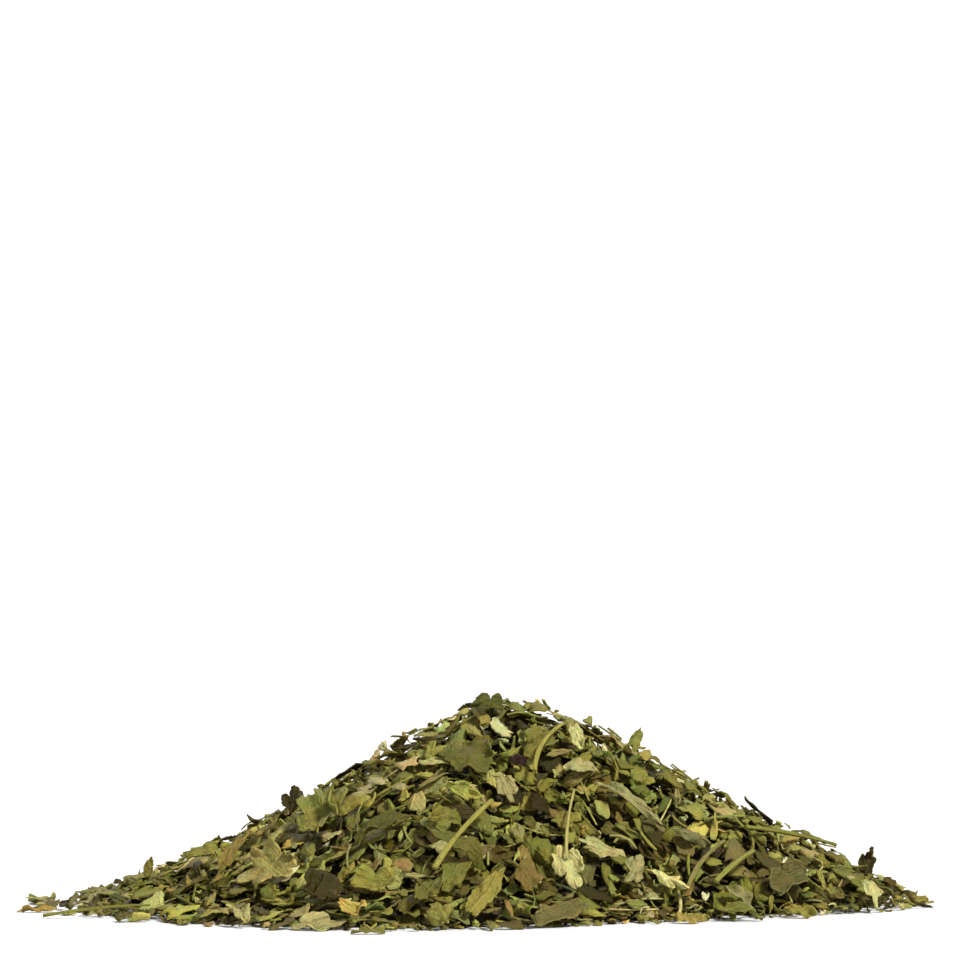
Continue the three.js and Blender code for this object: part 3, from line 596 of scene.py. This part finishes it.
class Shader:
    """The node tree of a material or a world."""

    def __init__(self, owner, surface="Principled BSDF"):
        owner.use_nodes = True
        self.owner = owner
        self.tree = owner.node_tree
        self.surface = self.tree.nodes[surface]

    def add(self, kind, settings, inputs, output=0):
        """Adds a node: its settings, then the values or links of its sockets, by number or name."""
        node = self.tree.nodes.new(kind)
        for key, value in settings.items():
            setattr(node, key, value)
        self.join(node, inputs)
        return Value(self, node.outputs[output])

    def join(self, node, inputs):
        for key, value in inputs.items():
            if isinstance(value, Value):
                self.tree.links.new(value.socket, node.inputs[key])
            else:
                node.inputs[key].default_value = value

    def attribute(self, name, output):
        return self.add("ShaderNodeAttribute", {"attribute_name": name}, {}, output)

    def split(self, vector, axis):
        return self.add("ShaderNodeSeparateXYZ", {}, {0: vector}, axis)

    def millimetres(self):
        """Object coordinates in millimetres."""
        return self.scaled(self.add("ShaderNodeTexCoord", {}, {}, "Object"), 1 / MM)

    def noise(self, place, scale, detail=2.0):
        return self.add("ShaderNodeTexNoise", {}, {"Vector": place, "Scale": scale, "Detail": detail}, "Fac")

    def stretched(self, vector, amounts):
        """A colour or a vector times three amounts."""
        return self.add("ShaderNodeVectorMath", {"operation": "MULTIPLY"}, {0: vector, 1: amounts})

    def scaled(self, colour, amount):
        """A colour or a vector times an amount, either of which may vary."""
        return self.add("ShaderNodeVectorMath", {"operation": "SCALE"}, {0: colour, "Scale": amount})

    def mixed(self, factor, a, b):
        return self.add("ShaderNodeMix", {"data_type": "RGBA"}, {0: factor, 6: a, 7: b}, 2)

    def ramp(self, value, low, high):
        """0 below low, 1 above high, straight between."""
        ends = {"Value": value, "From Min": low, "From Max": high}
        return self.add("ShaderNodeMapRange", {"clamp": True}, ends)

    def bump(self, height, depth, strength=1.0):
        """Bumps of a depth in metres that follow a height."""
        sockets = {"Height": height, "Distance": depth, "Strength": strength}
        return self.add("ShaderNodeBump", {}, sockets, "Normal")

    def finish(self, sockets):
        """The material or world, with these sockets of its surface set or linked."""
        self.join(self.surface, sockets)
        return self.owner


# ---- Finishes: scales are per millimetre, and a vein or a spot shows between two values ----
SHEEN = 0.14  # specular level of dried leaf and stem
GREENER, REDDER = (0.9, 1.0, 1.0), (1.13, 0.99, 1.0)  # how far a tint turns from place to place
CLOUD_BROWN, SPECK_BROWN = 0x56462C, 0x3E3020
RIB_EDGE, SIDE_VEIN_EDGE = (0.05, 0.3), (0.02, 0.12)
SIDE_VEINS, SLANT = 0.62, 1.3  # how close the side veins are, and how far they slant
PALER_VEIN, PALER_MARGIN_AND_HIGHLIGHT = 1.4, 1.6


def rgba(colour):
    return (*linear(colour), 1.0)


def leaf_material(name):
    """Dried leaf: a mottled tint, paler veins, a paler margin that is partly painted highlight, brown clouds
    and specks, and wrinkles.
    """
    s = Shader(bpy.data.materials.new(name))
    place = s.millimetres()
    leaf = s.attribute("leaf", "Vector")
    across = s.split(leaf, "Y").math("ABSOLUTE")
    along = s.split(leaf, "X")
    margin = s.split(leaf, "Z")
    mottle = s.noise(place, 1.1, 4.0)
    cloud = s.noise(place, 0.28, 2.0)
    grain = s.noise(s.stretched(leaf, (0.8, 2.4, 0.0)), 1.1, 4.0)
    side = ((along - SLANT * across + 0.8 * cloud) * SIDE_VEINS).math("FRACT") - 0.5
    side_vein = 1 - s.ramp(side.math("ABSOLUTE"), *SIDE_VEIN_EDGE)
    rib = 1 - s.ramp(across, *RIB_EDGE)
    veins = rib.math("MAXIMUM", 0.4 * side_vein)
    bright = 0.41 + 0.62 * mottle + 0.3 * cloud + 0.3 * grain
    tint = s.scaled(s.attribute("tint", "Color"), bright)
    turning = s.ramp(s.noise(place, 0.25, 3.0), 0.36, 0.64)
    tint = s.mixed(turning, s.stretched(tint, GREENER), s.stretched(tint, REDDER))
    browned = s.ramp(cloud + 0.35 * (grain - 0.5), 0.6, 0.76)
    tint = s.mixed(0.45 * browned, tint, s.scaled(linear(CLOUD_BROWN), bright))
    tint = s.mixed(0.45 * veins, tint, s.scaled(tint, PALER_VEIN))
    # Paler margin: partly the dry edge's own colour, partly a painted highlight along curled edges.
    rim = s.ramp(margin * (0.7 + 0.6 * mottle), 0.84, 1.1)
    tint = s.mixed(0.4 * rim, tint, s.scaled(tint, PALER_MARGIN_AND_HIGHLIGHT))
    specks = s.ramp(s.noise(place, 1.9, 4.0), 0.64, 0.72)
    tint = s.mixed(0.6 * specks, tint, rgba(SPECK_BROWN))
    wrinkles = 0.8 * grain + 0.7 * mottle + 0.4 * veins
    rough, bumps = 0.42 + 0.24 * mottle, s.bump(wrinkles, 0.0005)
    return s.finish({"Base Color": tint, "Roughness": rough, "Normal": bumps, "Specular IOR Level": SHEEN})


def stem_material(name):
    """Dried stem: ribbed along its length, with a mottled tint."""
    s = Shader(bpy.data.materials.new(name))
    place = s.millimetres()
    leaf = s.attribute("leaf", "Vector")
    ribs = s.noise(s.stretched(leaf, (0.25, 1.8, 0.0)), 1.0, 3.0)
    mottle = s.noise(place, 0.9, 3.0)
    tint = s.scaled(s.attribute("tint", "Color"), 1.5 * ribs + 0.6 * mottle - 0.1)
    tint = s.mixed(0.6 * s.ramp(mottle, 0.55, 0.7), tint, rgba(0x4C4026))
    rough, bumps = 0.5 + 0.3 * mottle, s.bump(ribs + 0.4 * mottle, 0.0003, 0.8)
    return s.finish({"Base Color": tint, "Roughness": rough, "Normal": bumps, "Specular IOR Level": SHEEN})


def core_material():
    """The heap's inside: painted shade, near black and mottled, seen through the gaps between the pieces."""
    s = Shader(bpy.data.materials.new("painted_shade_core"))
    place = s.millimetres()
    flecks = s.noise(place, 0.7, 4.0)
    # Near-black tints: painted shade for the deep gaps between the pieces.
    tint = s.mixed(s.ramp(flecks, 0.35, 0.65), rgba(0x1E180A), rgba(0x423A1A))
    return s.finish({"Base Color": tint, "Roughness": 0.9, "Normal": s.bump(flecks, 0.001)})


def floor_material():
    """A pale, faintly clouded floor."""
    s = Shader(bpy.data.materials.new("pale_floor"))
    grain = s.noise(s.millimetres(), 0.02, 3.0)
    tint = s.mixed(grain, (0.76, 0.76, 0.77, 1), (0.8, 0.8, 0.805, 1))
    return s.finish({"Base Color": tint, "Roughness": 0.6})


# ---- The larger leaf pieces: radii are shares of the half size ----
STALK_BEARINGS, STALK_RADII = [180, -152, 152], [0.92, 0.55, 0.55]
WIDE_FAN, NARROW_FAN = 118.0, 92.0  # bearing of the outermost lobes, in degrees: of many lobes, and of few
TIPS, NOTCHES, CUT_CORNERS = (0.9, 0.16), (0.34, 0.18), (0.86, 0.34)  # least, and what is added unevenly
CUT_SIDES, CUT_STRAY = 6, 0.7
TEETH = 7.5  # half the number of teeth round a larger piece
TOOTH = 0.2  # depth of a tooth
SPOKES = 56
RINGS = (0.18, 0.36, 0.54, 0.7, 0.84, 0.94, 1.0)
STALK_OUT = 0.55  # from the middle to the stalk, by the length
RIB_FANS = (0.62, 0.42)  # bearing of the outermost rib, in radians: of many lobes, and of few
SOFT_FOLD = 0.1  # half width of the rounding along a fold
PLEAT = 0.07  # height of the pleats, by the distance from the stalk
CRUMPLE, LARGE_WAVES, LARGE_WAVE_LENGTH = 0.036, (1, 5), (1.6, 6.0)
RIPPLE, RIPPLES = 0.35, 6  # height and number of the ripples round the edge
LARGE_CREASES = 3
CREASE_FROM, CREASE_MORE = 0.12, 0.2  # how far out a crease lies, by the width
SHARPEST = 1.15  # crease of a larger piece, in radians
BROAD = 6.0  # a piece narrower than this is creased less
LARGE_THICKNESS = 0.26


def uneven(key, index, least=0.0, more=1.0):
    """From least to least + more, depending only on a piece's key and a corner's number."""
    s = np.sin(key * 12.9898 + index * 78.233) * 43758.5453
    return least + more * (s - np.floor(s))


def larger_corners(lobes, key):
    """Bearings and radii of the corners: lobes and notches in a fan, or the ends of straight cuts."""
    if lobes:
        fan = WIDE_FAN if lobes > 3 else NARROW_FAN
        steps = np.arange(2 * lobes - 1)
        tips, notches = uneven(key, steps / 2, *TIPS), uneven(key, steps / 2 + 19.5, *NOTCHES)
        bearings = np.concatenate([STALK_BEARINGS, -fan + fan * steps / (lobes - 1)])
        radii = np.concatenate([STALK_RADII, np.where(steps % 2, notches, tips)])
    else:
        steps = np.arange(CUT_SIDES)
        bearings = 360 * (steps + CUT_STRAY * (uneven(key, steps) - 0.5)) / CUT_SIDES
        radii = uneven(key, steps + 40, *CUT_CORNERS)
    bearings = np.radians(bearings) % TAU
    order = np.argsort(bearings)
    return bearings[order], radii[order]


def larger_outline(length, width, lobes, key, turn):
    """Edge of a larger piece: round, toothed lobes between its corners, or straight cuts with teeth along one
    side."""
    bearings, radii = larger_corners(lobes, key)
    after = np.searchsorted(bearings, turn % TAU) % len(bearings)
    before = (after - 1) % len(bearings)
    near, far = radii[before], radii[after]
    gap = (bearings[after] - bearings[before]) % TAU
    t = ((turn - bearings[before]) % TAU) / gap
    if lobes:
        low, high = np.minimum(near, far), np.maximum(near, far)
        from_tip = np.where(near > far, t, 1 - t)
        radius = low + (high - low) * (1 - from_tip**2.2) ** 0.6
        toothed = 1.0
    else:
        radius = near * far * np.sin(gap) / (near * np.sin(t * gap) + far * np.sin((1 - t) * gap))
        toothed = np.clip(1.5 * np.cos(turn - 5 * key), 0, 1)
    tooth = 1 - np.abs(np.cos(TEETH * turn + key + 1.5 * np.sin(2 * turn + 3 * key))) ** 0.6
    radius = radius - TOOTH * toothed * (0.6 + 0.4 * np.sin(3 * turn + key)) * tooth
    radius = radius + 0.02 * np.sin(turn * 13 + 2 * key) + 0.015 * np.sin(turn * 23 + key)
    return np.stack([radius * np.cos(turn) * length, radius * np.sin(turn) * width], -1) / 2


def from_ribs(from_stalk, bearing, lobes):
    """Distance along and across the nearest of the ribs that fan out from the stalk to the lobes."""
    spread = RIB_FANS[lobes <= 3]
    ribs = np.linspace(-spread, spread, lobes) if lobes else np.zeros(1)
    away = bearing - ribs[np.argmin(np.abs(bearing[:, None] - ribs), axis=1)]
    return from_stalk * np.cos(away), from_stalk * np.sin(away)


def above_floor(points, resting=False):
    """Points raised until none is under the floor, or moved until the lowest is on it."""
    low = points[..., 2].min()
    points[..., 2] -= low if resting else min(low, 0)
    return points


def larger_leaf(row, rng):
    """A larger piece where its node is: z = fold |v| + curl u^2 + twist u v, then pleated and creased."""
    at, (length, width), turn, lean, lift, lobes, fold, curl, twist = row[3:]
    key = at[0] + 3 * at[1]
    around = np.arange(SPOKES) * TAU / SPOKES
    share = np.concatenate([[0], np.repeat(RINGS, SPOKES)])
    x, y = ringed(larger_outline(length, width, lobes, key, around), RINGS).T
    u, v = 2 * x / length, 2 * y / width
    z = fold * (np.sqrt(v * v + SOFT_FOLD * SOFT_FOLD) - SOFT_FOLD) + curl * u * u + twist * u * v
    from_stalk = np.hypot(y, x + STALK_OUT * length)
    stalk = np.arctan2(y, x + STALK_OUT * length)
    pleat = 1 - 2 * np.abs(np.sin((max(lobes, 3) + 1) * stalk + 0.5 * key))
    z = z + PLEAT * pleat * from_stalk * share
    z = z + crumpled(x, y, CRUMPLE, draw_waves(rng, LARGE_WAVES, LARGE_WAVE_LENGTH))[0]
    around = np.concatenate([[0], np.tile(around, len(RINGS))])
    z = z + RIPPLE * share**3 * np.sin(RIPPLES * around + key)
    for k in range(LARGE_CREASES):
        way = 2 * uneven(key, 70 + k) - 1
        angle = SHARPEST * (0.7 * way + 0.3 * np.sign(way)) * min(1, width / BROAD)
        out = uneven(key, 60 + k, CREASE_FROM, CREASE_MORE) * width
        x, y, z = creased(x, y, z, TAU * uneven(key, 50 + k), out, angle)
    x, y, z = (each - each.mean() for each in (x, y, z))
    faces = blade_faces(SPOKES, len(RINGS))
    points = thickened(np.stack([x, y, z], -1)[None], faces, LARGE_THICKNESS)
    axes, middle = placement(at, turn, lean, lift)
    points = above_floor(points @ axes.T + middle, lift is None)
    leaf = np.stack([*from_ribs(from_stalk, stalk, lobes), share], -1)
    return points, np.concatenate([leaf, leaf])[None], faces


# ---- Stem pieces ----
STEM_GRID, LARGE_STEM_GRID = (4, 6), (14, 12)  # rings along a piece, and points round it


def stem_points(length, girth, bow, rng, steps, sides):
    """A ribbed, flattened rod, its circles carried along a cubic through four points.
    Radius = r (1 + 0.16 cos 4a), with thicker and thinner stretches."""
    u = np.linspace(-1, 1, steps)
    half = length / 2
    nodes = np.array([-1, -1 / 3, 1 / 3, 1])
    across = np.array([0, bow, 0.8 * bow, -0.4 * bow])
    rise = np.array([0, 0.25 * bow, 0.3 * bow, 0])
    side, up = (np.polyval(np.polyfit(nodes, bend, 3), u) for bend in (across, rise))
    a = np.arange(sides) * TAU / sides
    uneven_girth = 1 - 0.15 * u + 0.12 * np.sin(4 * u + rng.uniform(0, TAU)) + rng.normal(0, 0.05, steps)
    radius = 0.42 * girth * uneven_girth[:, None] * (1 + 0.16 * np.cos(4 * a + rng.uniform(0, TAU)))
    x = half * u[:, None] + 0 * a
    y = side[:, None] + radius * np.cos(a)
    z = up[:, None] + 0.7 * radius * np.sin(a)
    rings = np.stack([x, y, z], -1).reshape(-1, 3)
    ends = np.array([[-half, side[0], up[0]], [half, side[-1], up[-1]]])
    leaf = np.stack([x, radius * a, 0 * x], -1).reshape(-1, 3)
    return np.concatenate([rings, ends]), np.concatenate([leaf, np.zeros((2, 3))])


def larger_stem(row, rng):
    """A larger stem piece where its node is: its points and leaf coordinates."""
    at, length, girth, turn, lift, bow = row[2:]
    points, leaf = stem_points(length, girth, bow, rng, *LARGE_STEM_GRID)
    axes, middle = placement(at, turn, 0, lift)
    return above_floor(points @ axes.T + middle), leaf


def rod_faces(steps, sides):
    """Fans over a rod's two ends and quads along it, faces outwards."""
    j, k = ring_pairs(sides)
    ends, last = sides * steps, sides * (steps - 1)
    near, far = np.stack([0 * j + ends, k, j], 1), np.stack([0 * j + ends + 1, last + j, last + k], 1)
    return np.concatenate([near, far]), bands(sides, steps)[:, [0, 3, 2, 1]]


def build_rods(name, points, leaf, tint, steps, sides):
    """A mesh of many rods. Each has a cell of the map, with its side as a strip under its two ends."""
    count, size = points.shape[:2]
    tris, quads = rod_faces(steps, sides)
    along, around = quads // sides / (steps - 1), quads % sides / sides
    around[:, [1, 2]] = np.where(around[:, [1, 2]] < around[:, [0, 3]], 1.0, around[:, [1, 2]])
    strip = np.stack([0.04 + 0.92 * along, 0.04 + 0.6 * around], -1)
    a = (np.arange(sides)[:, None] + np.array([0, 0, 1])) * TAU / sides
    disc = 0.12 * np.stack([np.cos(a), np.sin(a)], -1) * np.array([0, 1, 1])[None, :, None]
    discs = np.concatenate([disc[:, [0, 2, 1]] + [0.25, 0.82], disc + [0.7, 0.82]])
    columns = int(np.ceil(np.sqrt(count)))
    cell = map_cells(count, columns)[:, None, None]
    uv = np.concatenate([((each + cell) / columns).reshape(-1, 2) for each in (discs, strip)])
    tris, quads = repeated(tris, count, size), repeated(quads, count, size)
    smooth = np.arange(len(tris) + len(quads)) >= len(tris)
    colours = np.repeat(tint, size, axis=0)
    return build_mesh(name, points.reshape(-1, 3), tris, quads, smooth, colours, leaf.reshape(-1, 3), uv)


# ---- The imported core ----
CORE_SECTORS, CORE_RINGS = 96, 23
CORE_ROUGH = 0.6  # height of its swells
CORE_FOOT = 0.15  # least thickness


def core_mesh():
    """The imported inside: the heap's form lowered by the shell's depth, over a flat foot."""
    turn = np.arange(CORE_SECTORS) * TAU / CORE_SECTORS
    share = np.linspace(0, 1, CORE_RINGS + 1)[1:, None]
    out = share * reach(turn) * CORE_EDGE
    x, y = PEAK[0] + out * np.cos(turn), PEAK[1] + out * np.sin(turn)
    z = np.maximum(heap_height(x, y) - SHELL + CORE_ROUGH * np.sin(x) * np.cos(1.1 * y), CORE_FOOT)
    rings = np.stack([x, y, z], -1).reshape(-1, 3)
    foot = np.stack([x[-1], y[-1], 0 * x[-1]], -1)
    points = np.concatenate([rings, foot, [[*PEAK, heap_height(*PEAK) - SHELL], [*PEAK, 0]]])
    top, low = len(points) - 2, len(points) - 1
    last = CORE_SECTORS * CORE_RINGS
    j, k = ring_pairs(CORE_SECTORS)
    tris = np.concatenate([np.stack([0 * j + top, j, k], 1), np.stack([0 * j + low, last + k, last + j], 1)])
    quads = bands(CORE_SECTORS, CORE_RINGS + 1)
    flat = (points[:, :2] - points[:, :2].min(0)) / np.ptp(points[:, :2], axis=0)
    uv = flat[np.concatenate([tris.ravel(), quads.ravel()])] * [0.48, 0.96] + 0.01
    uv[tris.size // 2 : tris.size] += HALF_CELL
    smooth = np.ones(len(tris) + len(quads), bool)
    blank = np.zeros((len(points), 3))
    return build_mesh("packed_core", points, tris, quads, smooth, blank, blank, uv)


# ---- Tints of the small pieces ----
LIGHTEST, DARKEST = 1.9, 0.4
RED_SPREAD, BLUE_SPREAD = 0.08, 0.14
TURNED_OVER = 0.4  # share of the pieces that show their underside
UNDER_GREY = 0.25  # how far the underside goes towards grey


def tint_of(names, rng, spread=0.42):
    """Colours of many pieces: a tint by name, lighter or darker, and paler where lighter."""
    base = np.array([linear(TINTS[name]) for name in names])
    light = np.clip(np.exp(rng.normal(-0.04, spread, len(names))), DARKEST, LIGHTEST)
    red, blue = (np.exp(rng.normal(0, each, len(names))) for each in (RED_SPREAD, BLUE_SPREAD))
    return base * np.stack([light * red, light, light**1.4 * blue], 1)


def underside(upper, grey=1.0):
    return (1 - UNDER_GREY) * upper + UNDER_GREY * linear(TINTS["grey"]) * grey


def both_faces(names, rng):
    """Colours of the upper and the lower face, the underside being greyer."""
    upper = tint_of(names, rng)
    under = underside(upper, np.exp(rng.normal(0.05, 0.15, (len(names), 1))))
    swap = rng.random(len(names)) < TURNED_OVER
    pair = np.stack([upper, under], 1)
    pair[swap] = pair[swap][:, ::-1]
    return pair


# ---- Making the heap ----
HEAP = "heap_of_cut_leaves"
LARGE_LIGHT = 0.8  # how light the larger pieces are beside small ones of the same tint
# The main pieces, by mesh: the mesh's share of them, its tints with their shares, and its slot.
GROUPS = {
    "green": (0.32, {"green": 0.75, "fresh": 0.25}, "leaf_green"),
    "fresh": (0.15, {"fresh": 0.75, "yellow": 0.25}, "leaf_fresh"),
    "dark": (0.19, {"dark": 0.75, "green": 0.25}, "leaf_dark"),
    "grey": (0.16, {"grey": 0.75, "green": 0.25}, "leaf_grey"),
    "pale": (0.12, {"pale": 0.65, "grey": 0.35}, "leaf_pale"),
    "withered": (0.06, {"tan": 0.35, "brown": 0.35, "yellow": 0.25, "red": 0.05}, "leaf_tan"),
}
MIXED = dict(green=0.34, fresh=0.16, dark=0.18, grey=0.16, pale=0.09, yellow=0.03, tan=0.02, brown=0.02)
STEM_TINTS, STEM_SPREAD = dict(green=0.5, fresh=0.26, yellow=0.08, straw=0.16), 0.3
MAIN_KINDS = {"lobed": 0.4, "cut": 0.4, "strip": 0.2}
BIG_KINDS = {"lobed": 0.6, "cut": 0.4}
FINE_KINDS = {"strip": 0.5, "crumb": 0.5}
# How finely a small piece is made: points round its edge, and its rings.
FLAT_GRID, FINE_GRID = (12, (1.0,)), (12, (0.55, 1.0))
MAIN_GRID, BIG_GRID = (20, (0.55, 1.0)), (26, (0.4, 0.72, 1.0))
TWIG_LENGTH, TWIG_GIRTH, TWIG_BOW = (4, 12), (0.35, 0.8), 0.4

FINISH = {slot: leaf_material(slot) for slot in sorted({"leaf_" + row[1] for row in LEAVES})}
FINISH |= {slot: stem_material(slot) for slot in sorted({"stem_" + row[1] for row in STEMS})}
Laid = namedtuple("Laid", "points leaf faces")


def seated(piece, node_name, slot, material=None):
    """A finished piece rides with the heap, stands for its node and takes its slot's finish or its own."""
    piece.data.materials.append(material or FINISH[slot])
    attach(piece, "root")
    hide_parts(node_name)


def batch(pile, rng, count, kinds, grid, **how):
    """Draws a batch of leaf pieces and lays them on the pile."""
    spokes, rings = grid
    shapes, leaf, faces = shape_pieces(draw_pieces(rng, count, kinds), rng, spokes, np.array(rings))
    placed, kept = pile.lay(shapes, rng, **how)
    return Laid(placed, leaf[kept], faces)


def stem_batch(pile, rng, count, **how):
    """Draws a batch of stem pieces and lays them on the pile."""
    def stem():
        length, girth, bow = rng.uniform(*TWIG_LENGTH), rng.uniform(*TWIG_GIRTH), rng.normal(0, TWIG_BOW)
        return stem_points(length, girth, bow, rng, *STEM_GRID)

    shapes, leaf = zip(*(stem() for _ in range(count)))
    placed, kept = pile.lay(np.array(shapes), rng, **how)
    return Laid(placed, np.array(leaf)[kept], None)


def joined(*batches):
    """Several batches of the same faces as one."""
    points, leaf, faces = zip(*batches)
    return Laid(np.concatenate(points), np.concatenate(leaf), faces[0])


def lay_small_pieces(rng, larger):
    """The small pieces, from the foot and the inside outwards. The last are laid over the larger ones."""
    pile = Pile()
    pile.keep_clear(larger)
    crumbs = batch(pile, rng, 500, {"crumb": 1}, FLAT_GRID, below=0.0, tilt=0.1, proud=1.0, zone=(0.9, 0.99))
    skirt = batch(pile, rng, 700, MAIN_KINDS, FLAT_GRID, below=0.0, tilt=0.15, proud=1.0, zone=(0.8, 0.985))
    low = batch(pile, rng, 900, MAIN_KINDS, FLAT_GRID, below=4.0, tilt=0.25, proud=1.5)
    big = batch(pile, rng, 420, BIG_KINDS, BIG_GRID, below=2.4, tilt=0.3)
    main = batch(pile, rng, 1500, MAIN_KINDS, MAIN_GRID, below=1.4, tilt=0.35)
    twigs = stem_batch(pile, rng, 200, below=0.8, tilt=0.2, settle=0.75)
    more = batch(pile, rng, 1500, MAIN_KINDS, MAIN_GRID, below=0.4, tilt=0.4)
    fine = batch(pile, rng, 600, FINE_KINDS, FINE_GRID, below=0.0, tilt=0.45)
    pile.cover(larger)
    top = batch(pile, rng, 300, FINE_KINDS, FINE_GRID, below=-0.8, proud=2.6, tilt=0.35)
    top_twigs = stem_batch(pile, rng, 70, below=-0.8, proud=2.6, tilt=0.15, settle=0.7)
    return SimpleNamespace(
        foot=joined(crumbs, skirt), low=low, big=big, main=joined(main, more), fine=joined(fine, top),
        twigs=joined(twigs, top_twigs),
    )


def drawn(shares, count, rng):
    """Names drawn by their shares."""
    return rng.choice(list(shares), count, p=list(shares.values()))


def add_leaves(name, laid, tints, rng, slot, light=1.0):
    """One mesh of small cut leaves, their tints drawn by share."""
    pair = both_faces(drawn(tints, len(laid.points), rng), rng) * light
    seated(build_blades(name + "_cut_leaves", laid.points, laid.leaf, pair, laid.faces), HEAP, slot)


def make_small_pieces(laid, rng):
    points, leaf, faces = laid.main
    group = rng.choice(len(GROUPS), len(points), p=[row[0] for row in GROUPS.values()])
    for number, (name, (_, tints, slot)) in enumerate(GROUPS.items()):
        mine = group == number
        add_leaves(name, Laid(points[mine], leaf[mine], faces), tints, rng, slot)
    add_leaves("foot", laid.foot, MIXED, rng, "leaf_grey", light=0.95)
    # The lower pieces are darkened to 0.42: painted shade for lying deep in the heap.
    add_leaves("lower", laid.low, MIXED, rng, "leaf_dark", light=0.42)
    add_leaves("large", laid.big, MIXED, rng, "leaf_green")
    add_leaves("fine", laid.fine, MIXED, rng, "leaf_fresh", light=0.9)
    tints = tint_of(drawn(STEM_TINTS, len(laid.twigs.points), rng), rng, STEM_SPREAD)
    piece = build_rods("cut_stems", laid.twigs.points, laid.twigs.leaf, tints, *STEM_GRID)
    seated(piece, HEAP, "stem_yellow")


def make_larger_pieces(blades, rods):
    for name, tint, tone_and_painted_light, *_ in LEAVES:
        points, leaf, faces = blades[name]
        # The tint scaled by each piece's factor: its own tone together with painted light and shade.
        base = linear(TINTS[tint])[None] * LARGE_LIGHT * tone_and_painted_light
        piece = build_blades(name + "_blade", points, leaf, np.stack([base, underside(base)], 1), faces)
        seated(piece, name, "leaf_" + tint)
    for name, tint, *_ in STEMS:
        points, leaf = rods[name]
        colour = linear(TINTS[tint])[None]
        piece = build_rods(name + "_rod", points[None], leaf[None], colour, *LARGE_STEM_GRID)
        seated(piece, name, "stem_" + tint)


def make_heap(rng):
    blades = {row[0]: larger_leaf(row, rng) for row in LEAVES}
    rods = {row[0]: larger_stem(row, rng) for row in STEMS}
    larger = np.concatenate([points.reshape(-1, 3) for points, *_ in (*blades.values(), *rods.values())])
    make_small_pieces(lay_small_pieces(rng, larger), rng)
    seated(core_mesh(), HEAP, "leaf_green", core_material())
    make_larger_pieces(blades, rods)


def make_floor():
    bpy.ops.mesh.primitive_circle_add(vertices=96, radius=5, fill_type="NGON")
    floor = bpy.context.object
    floor.name = "floor"
    floor.data.materials.append(floor_material())


# ---- Camera and light ----
LENS, SENSOR = 205.4, 36  # millimetres, which see 202 mm of width at the heap's middle
CAMERA_AWAY, CAMERA_HEIGHT = 1.15, 0.0895
WALL_TOP = (0.12, 0.27)  # heights between which the walls' light falls off to the ceiling's
WALL_LIGHT, CEILING_LIGHT = 1.25, 0.16
WALL_COLOUR = (1, 0.94, 0.82, 1)
# Each sun's direction, its strength, and how wide it looks, in degrees.
SUNS = {
    "key": ((0.62, -0.72, 0.95), 5.1, 12),
    "fill": ((-0.9, -0.5, 0.7), 0.3, 40),
    "back": ((-0.2, 0.9, 0.8), 1.0, 40),
}


def make_camera():
    """Level, with the middle of the frame on the horizon."""
    data = bpy.data.cameras.new("camera")
    data.lens = LENS
    data.sensor_width = SENSOR
    data.clip_end = 50
    camera = add_object("camera", data)
    camera.location = (0, -CAMERA_AWAY, CAMERA_HEIGHT)
    camera.rotation_euler = (np.radians(90), 0, 0)
    bpy.context.scene.camera = camera


def make_world():
    """A room with warm, bright walls and a dimmer ceiling."""
    world = bpy.data.worlds.new("studio")
    bpy.context.scene.world = world
    s = Shader(world, "Background")
    up = s.split(s.add("ShaderNodeTexCoord", {}, {}, "Generated"), "Z")
    light = dict(zip(("From Min", "From Max", "To Min", "To Max"), (*WALL_TOP, WALL_LIGHT, CEILING_LIGHT)))
    s.finish({"Color": WALL_COLOUR, "Strength": s.add("ShaderNodeMapRange", {}, {"Value": up, **light})})


def make_suns():
    for name, (towards, strength, width) in SUNS.items():
        data = bpy.data.lights.new(name, "SUN")
        data.energy = strength
        data.angle = np.radians(width)
        add_object(name, data).rotation_euler = Vector(towards).to_track_quat("Z", "Y").to_euler()


make_heap(np.random.default_rng(7))
make_floor()
make_camera()
make_world()
make_suns()
bpy.context.scene.view_settings.view_transform = "Standard"
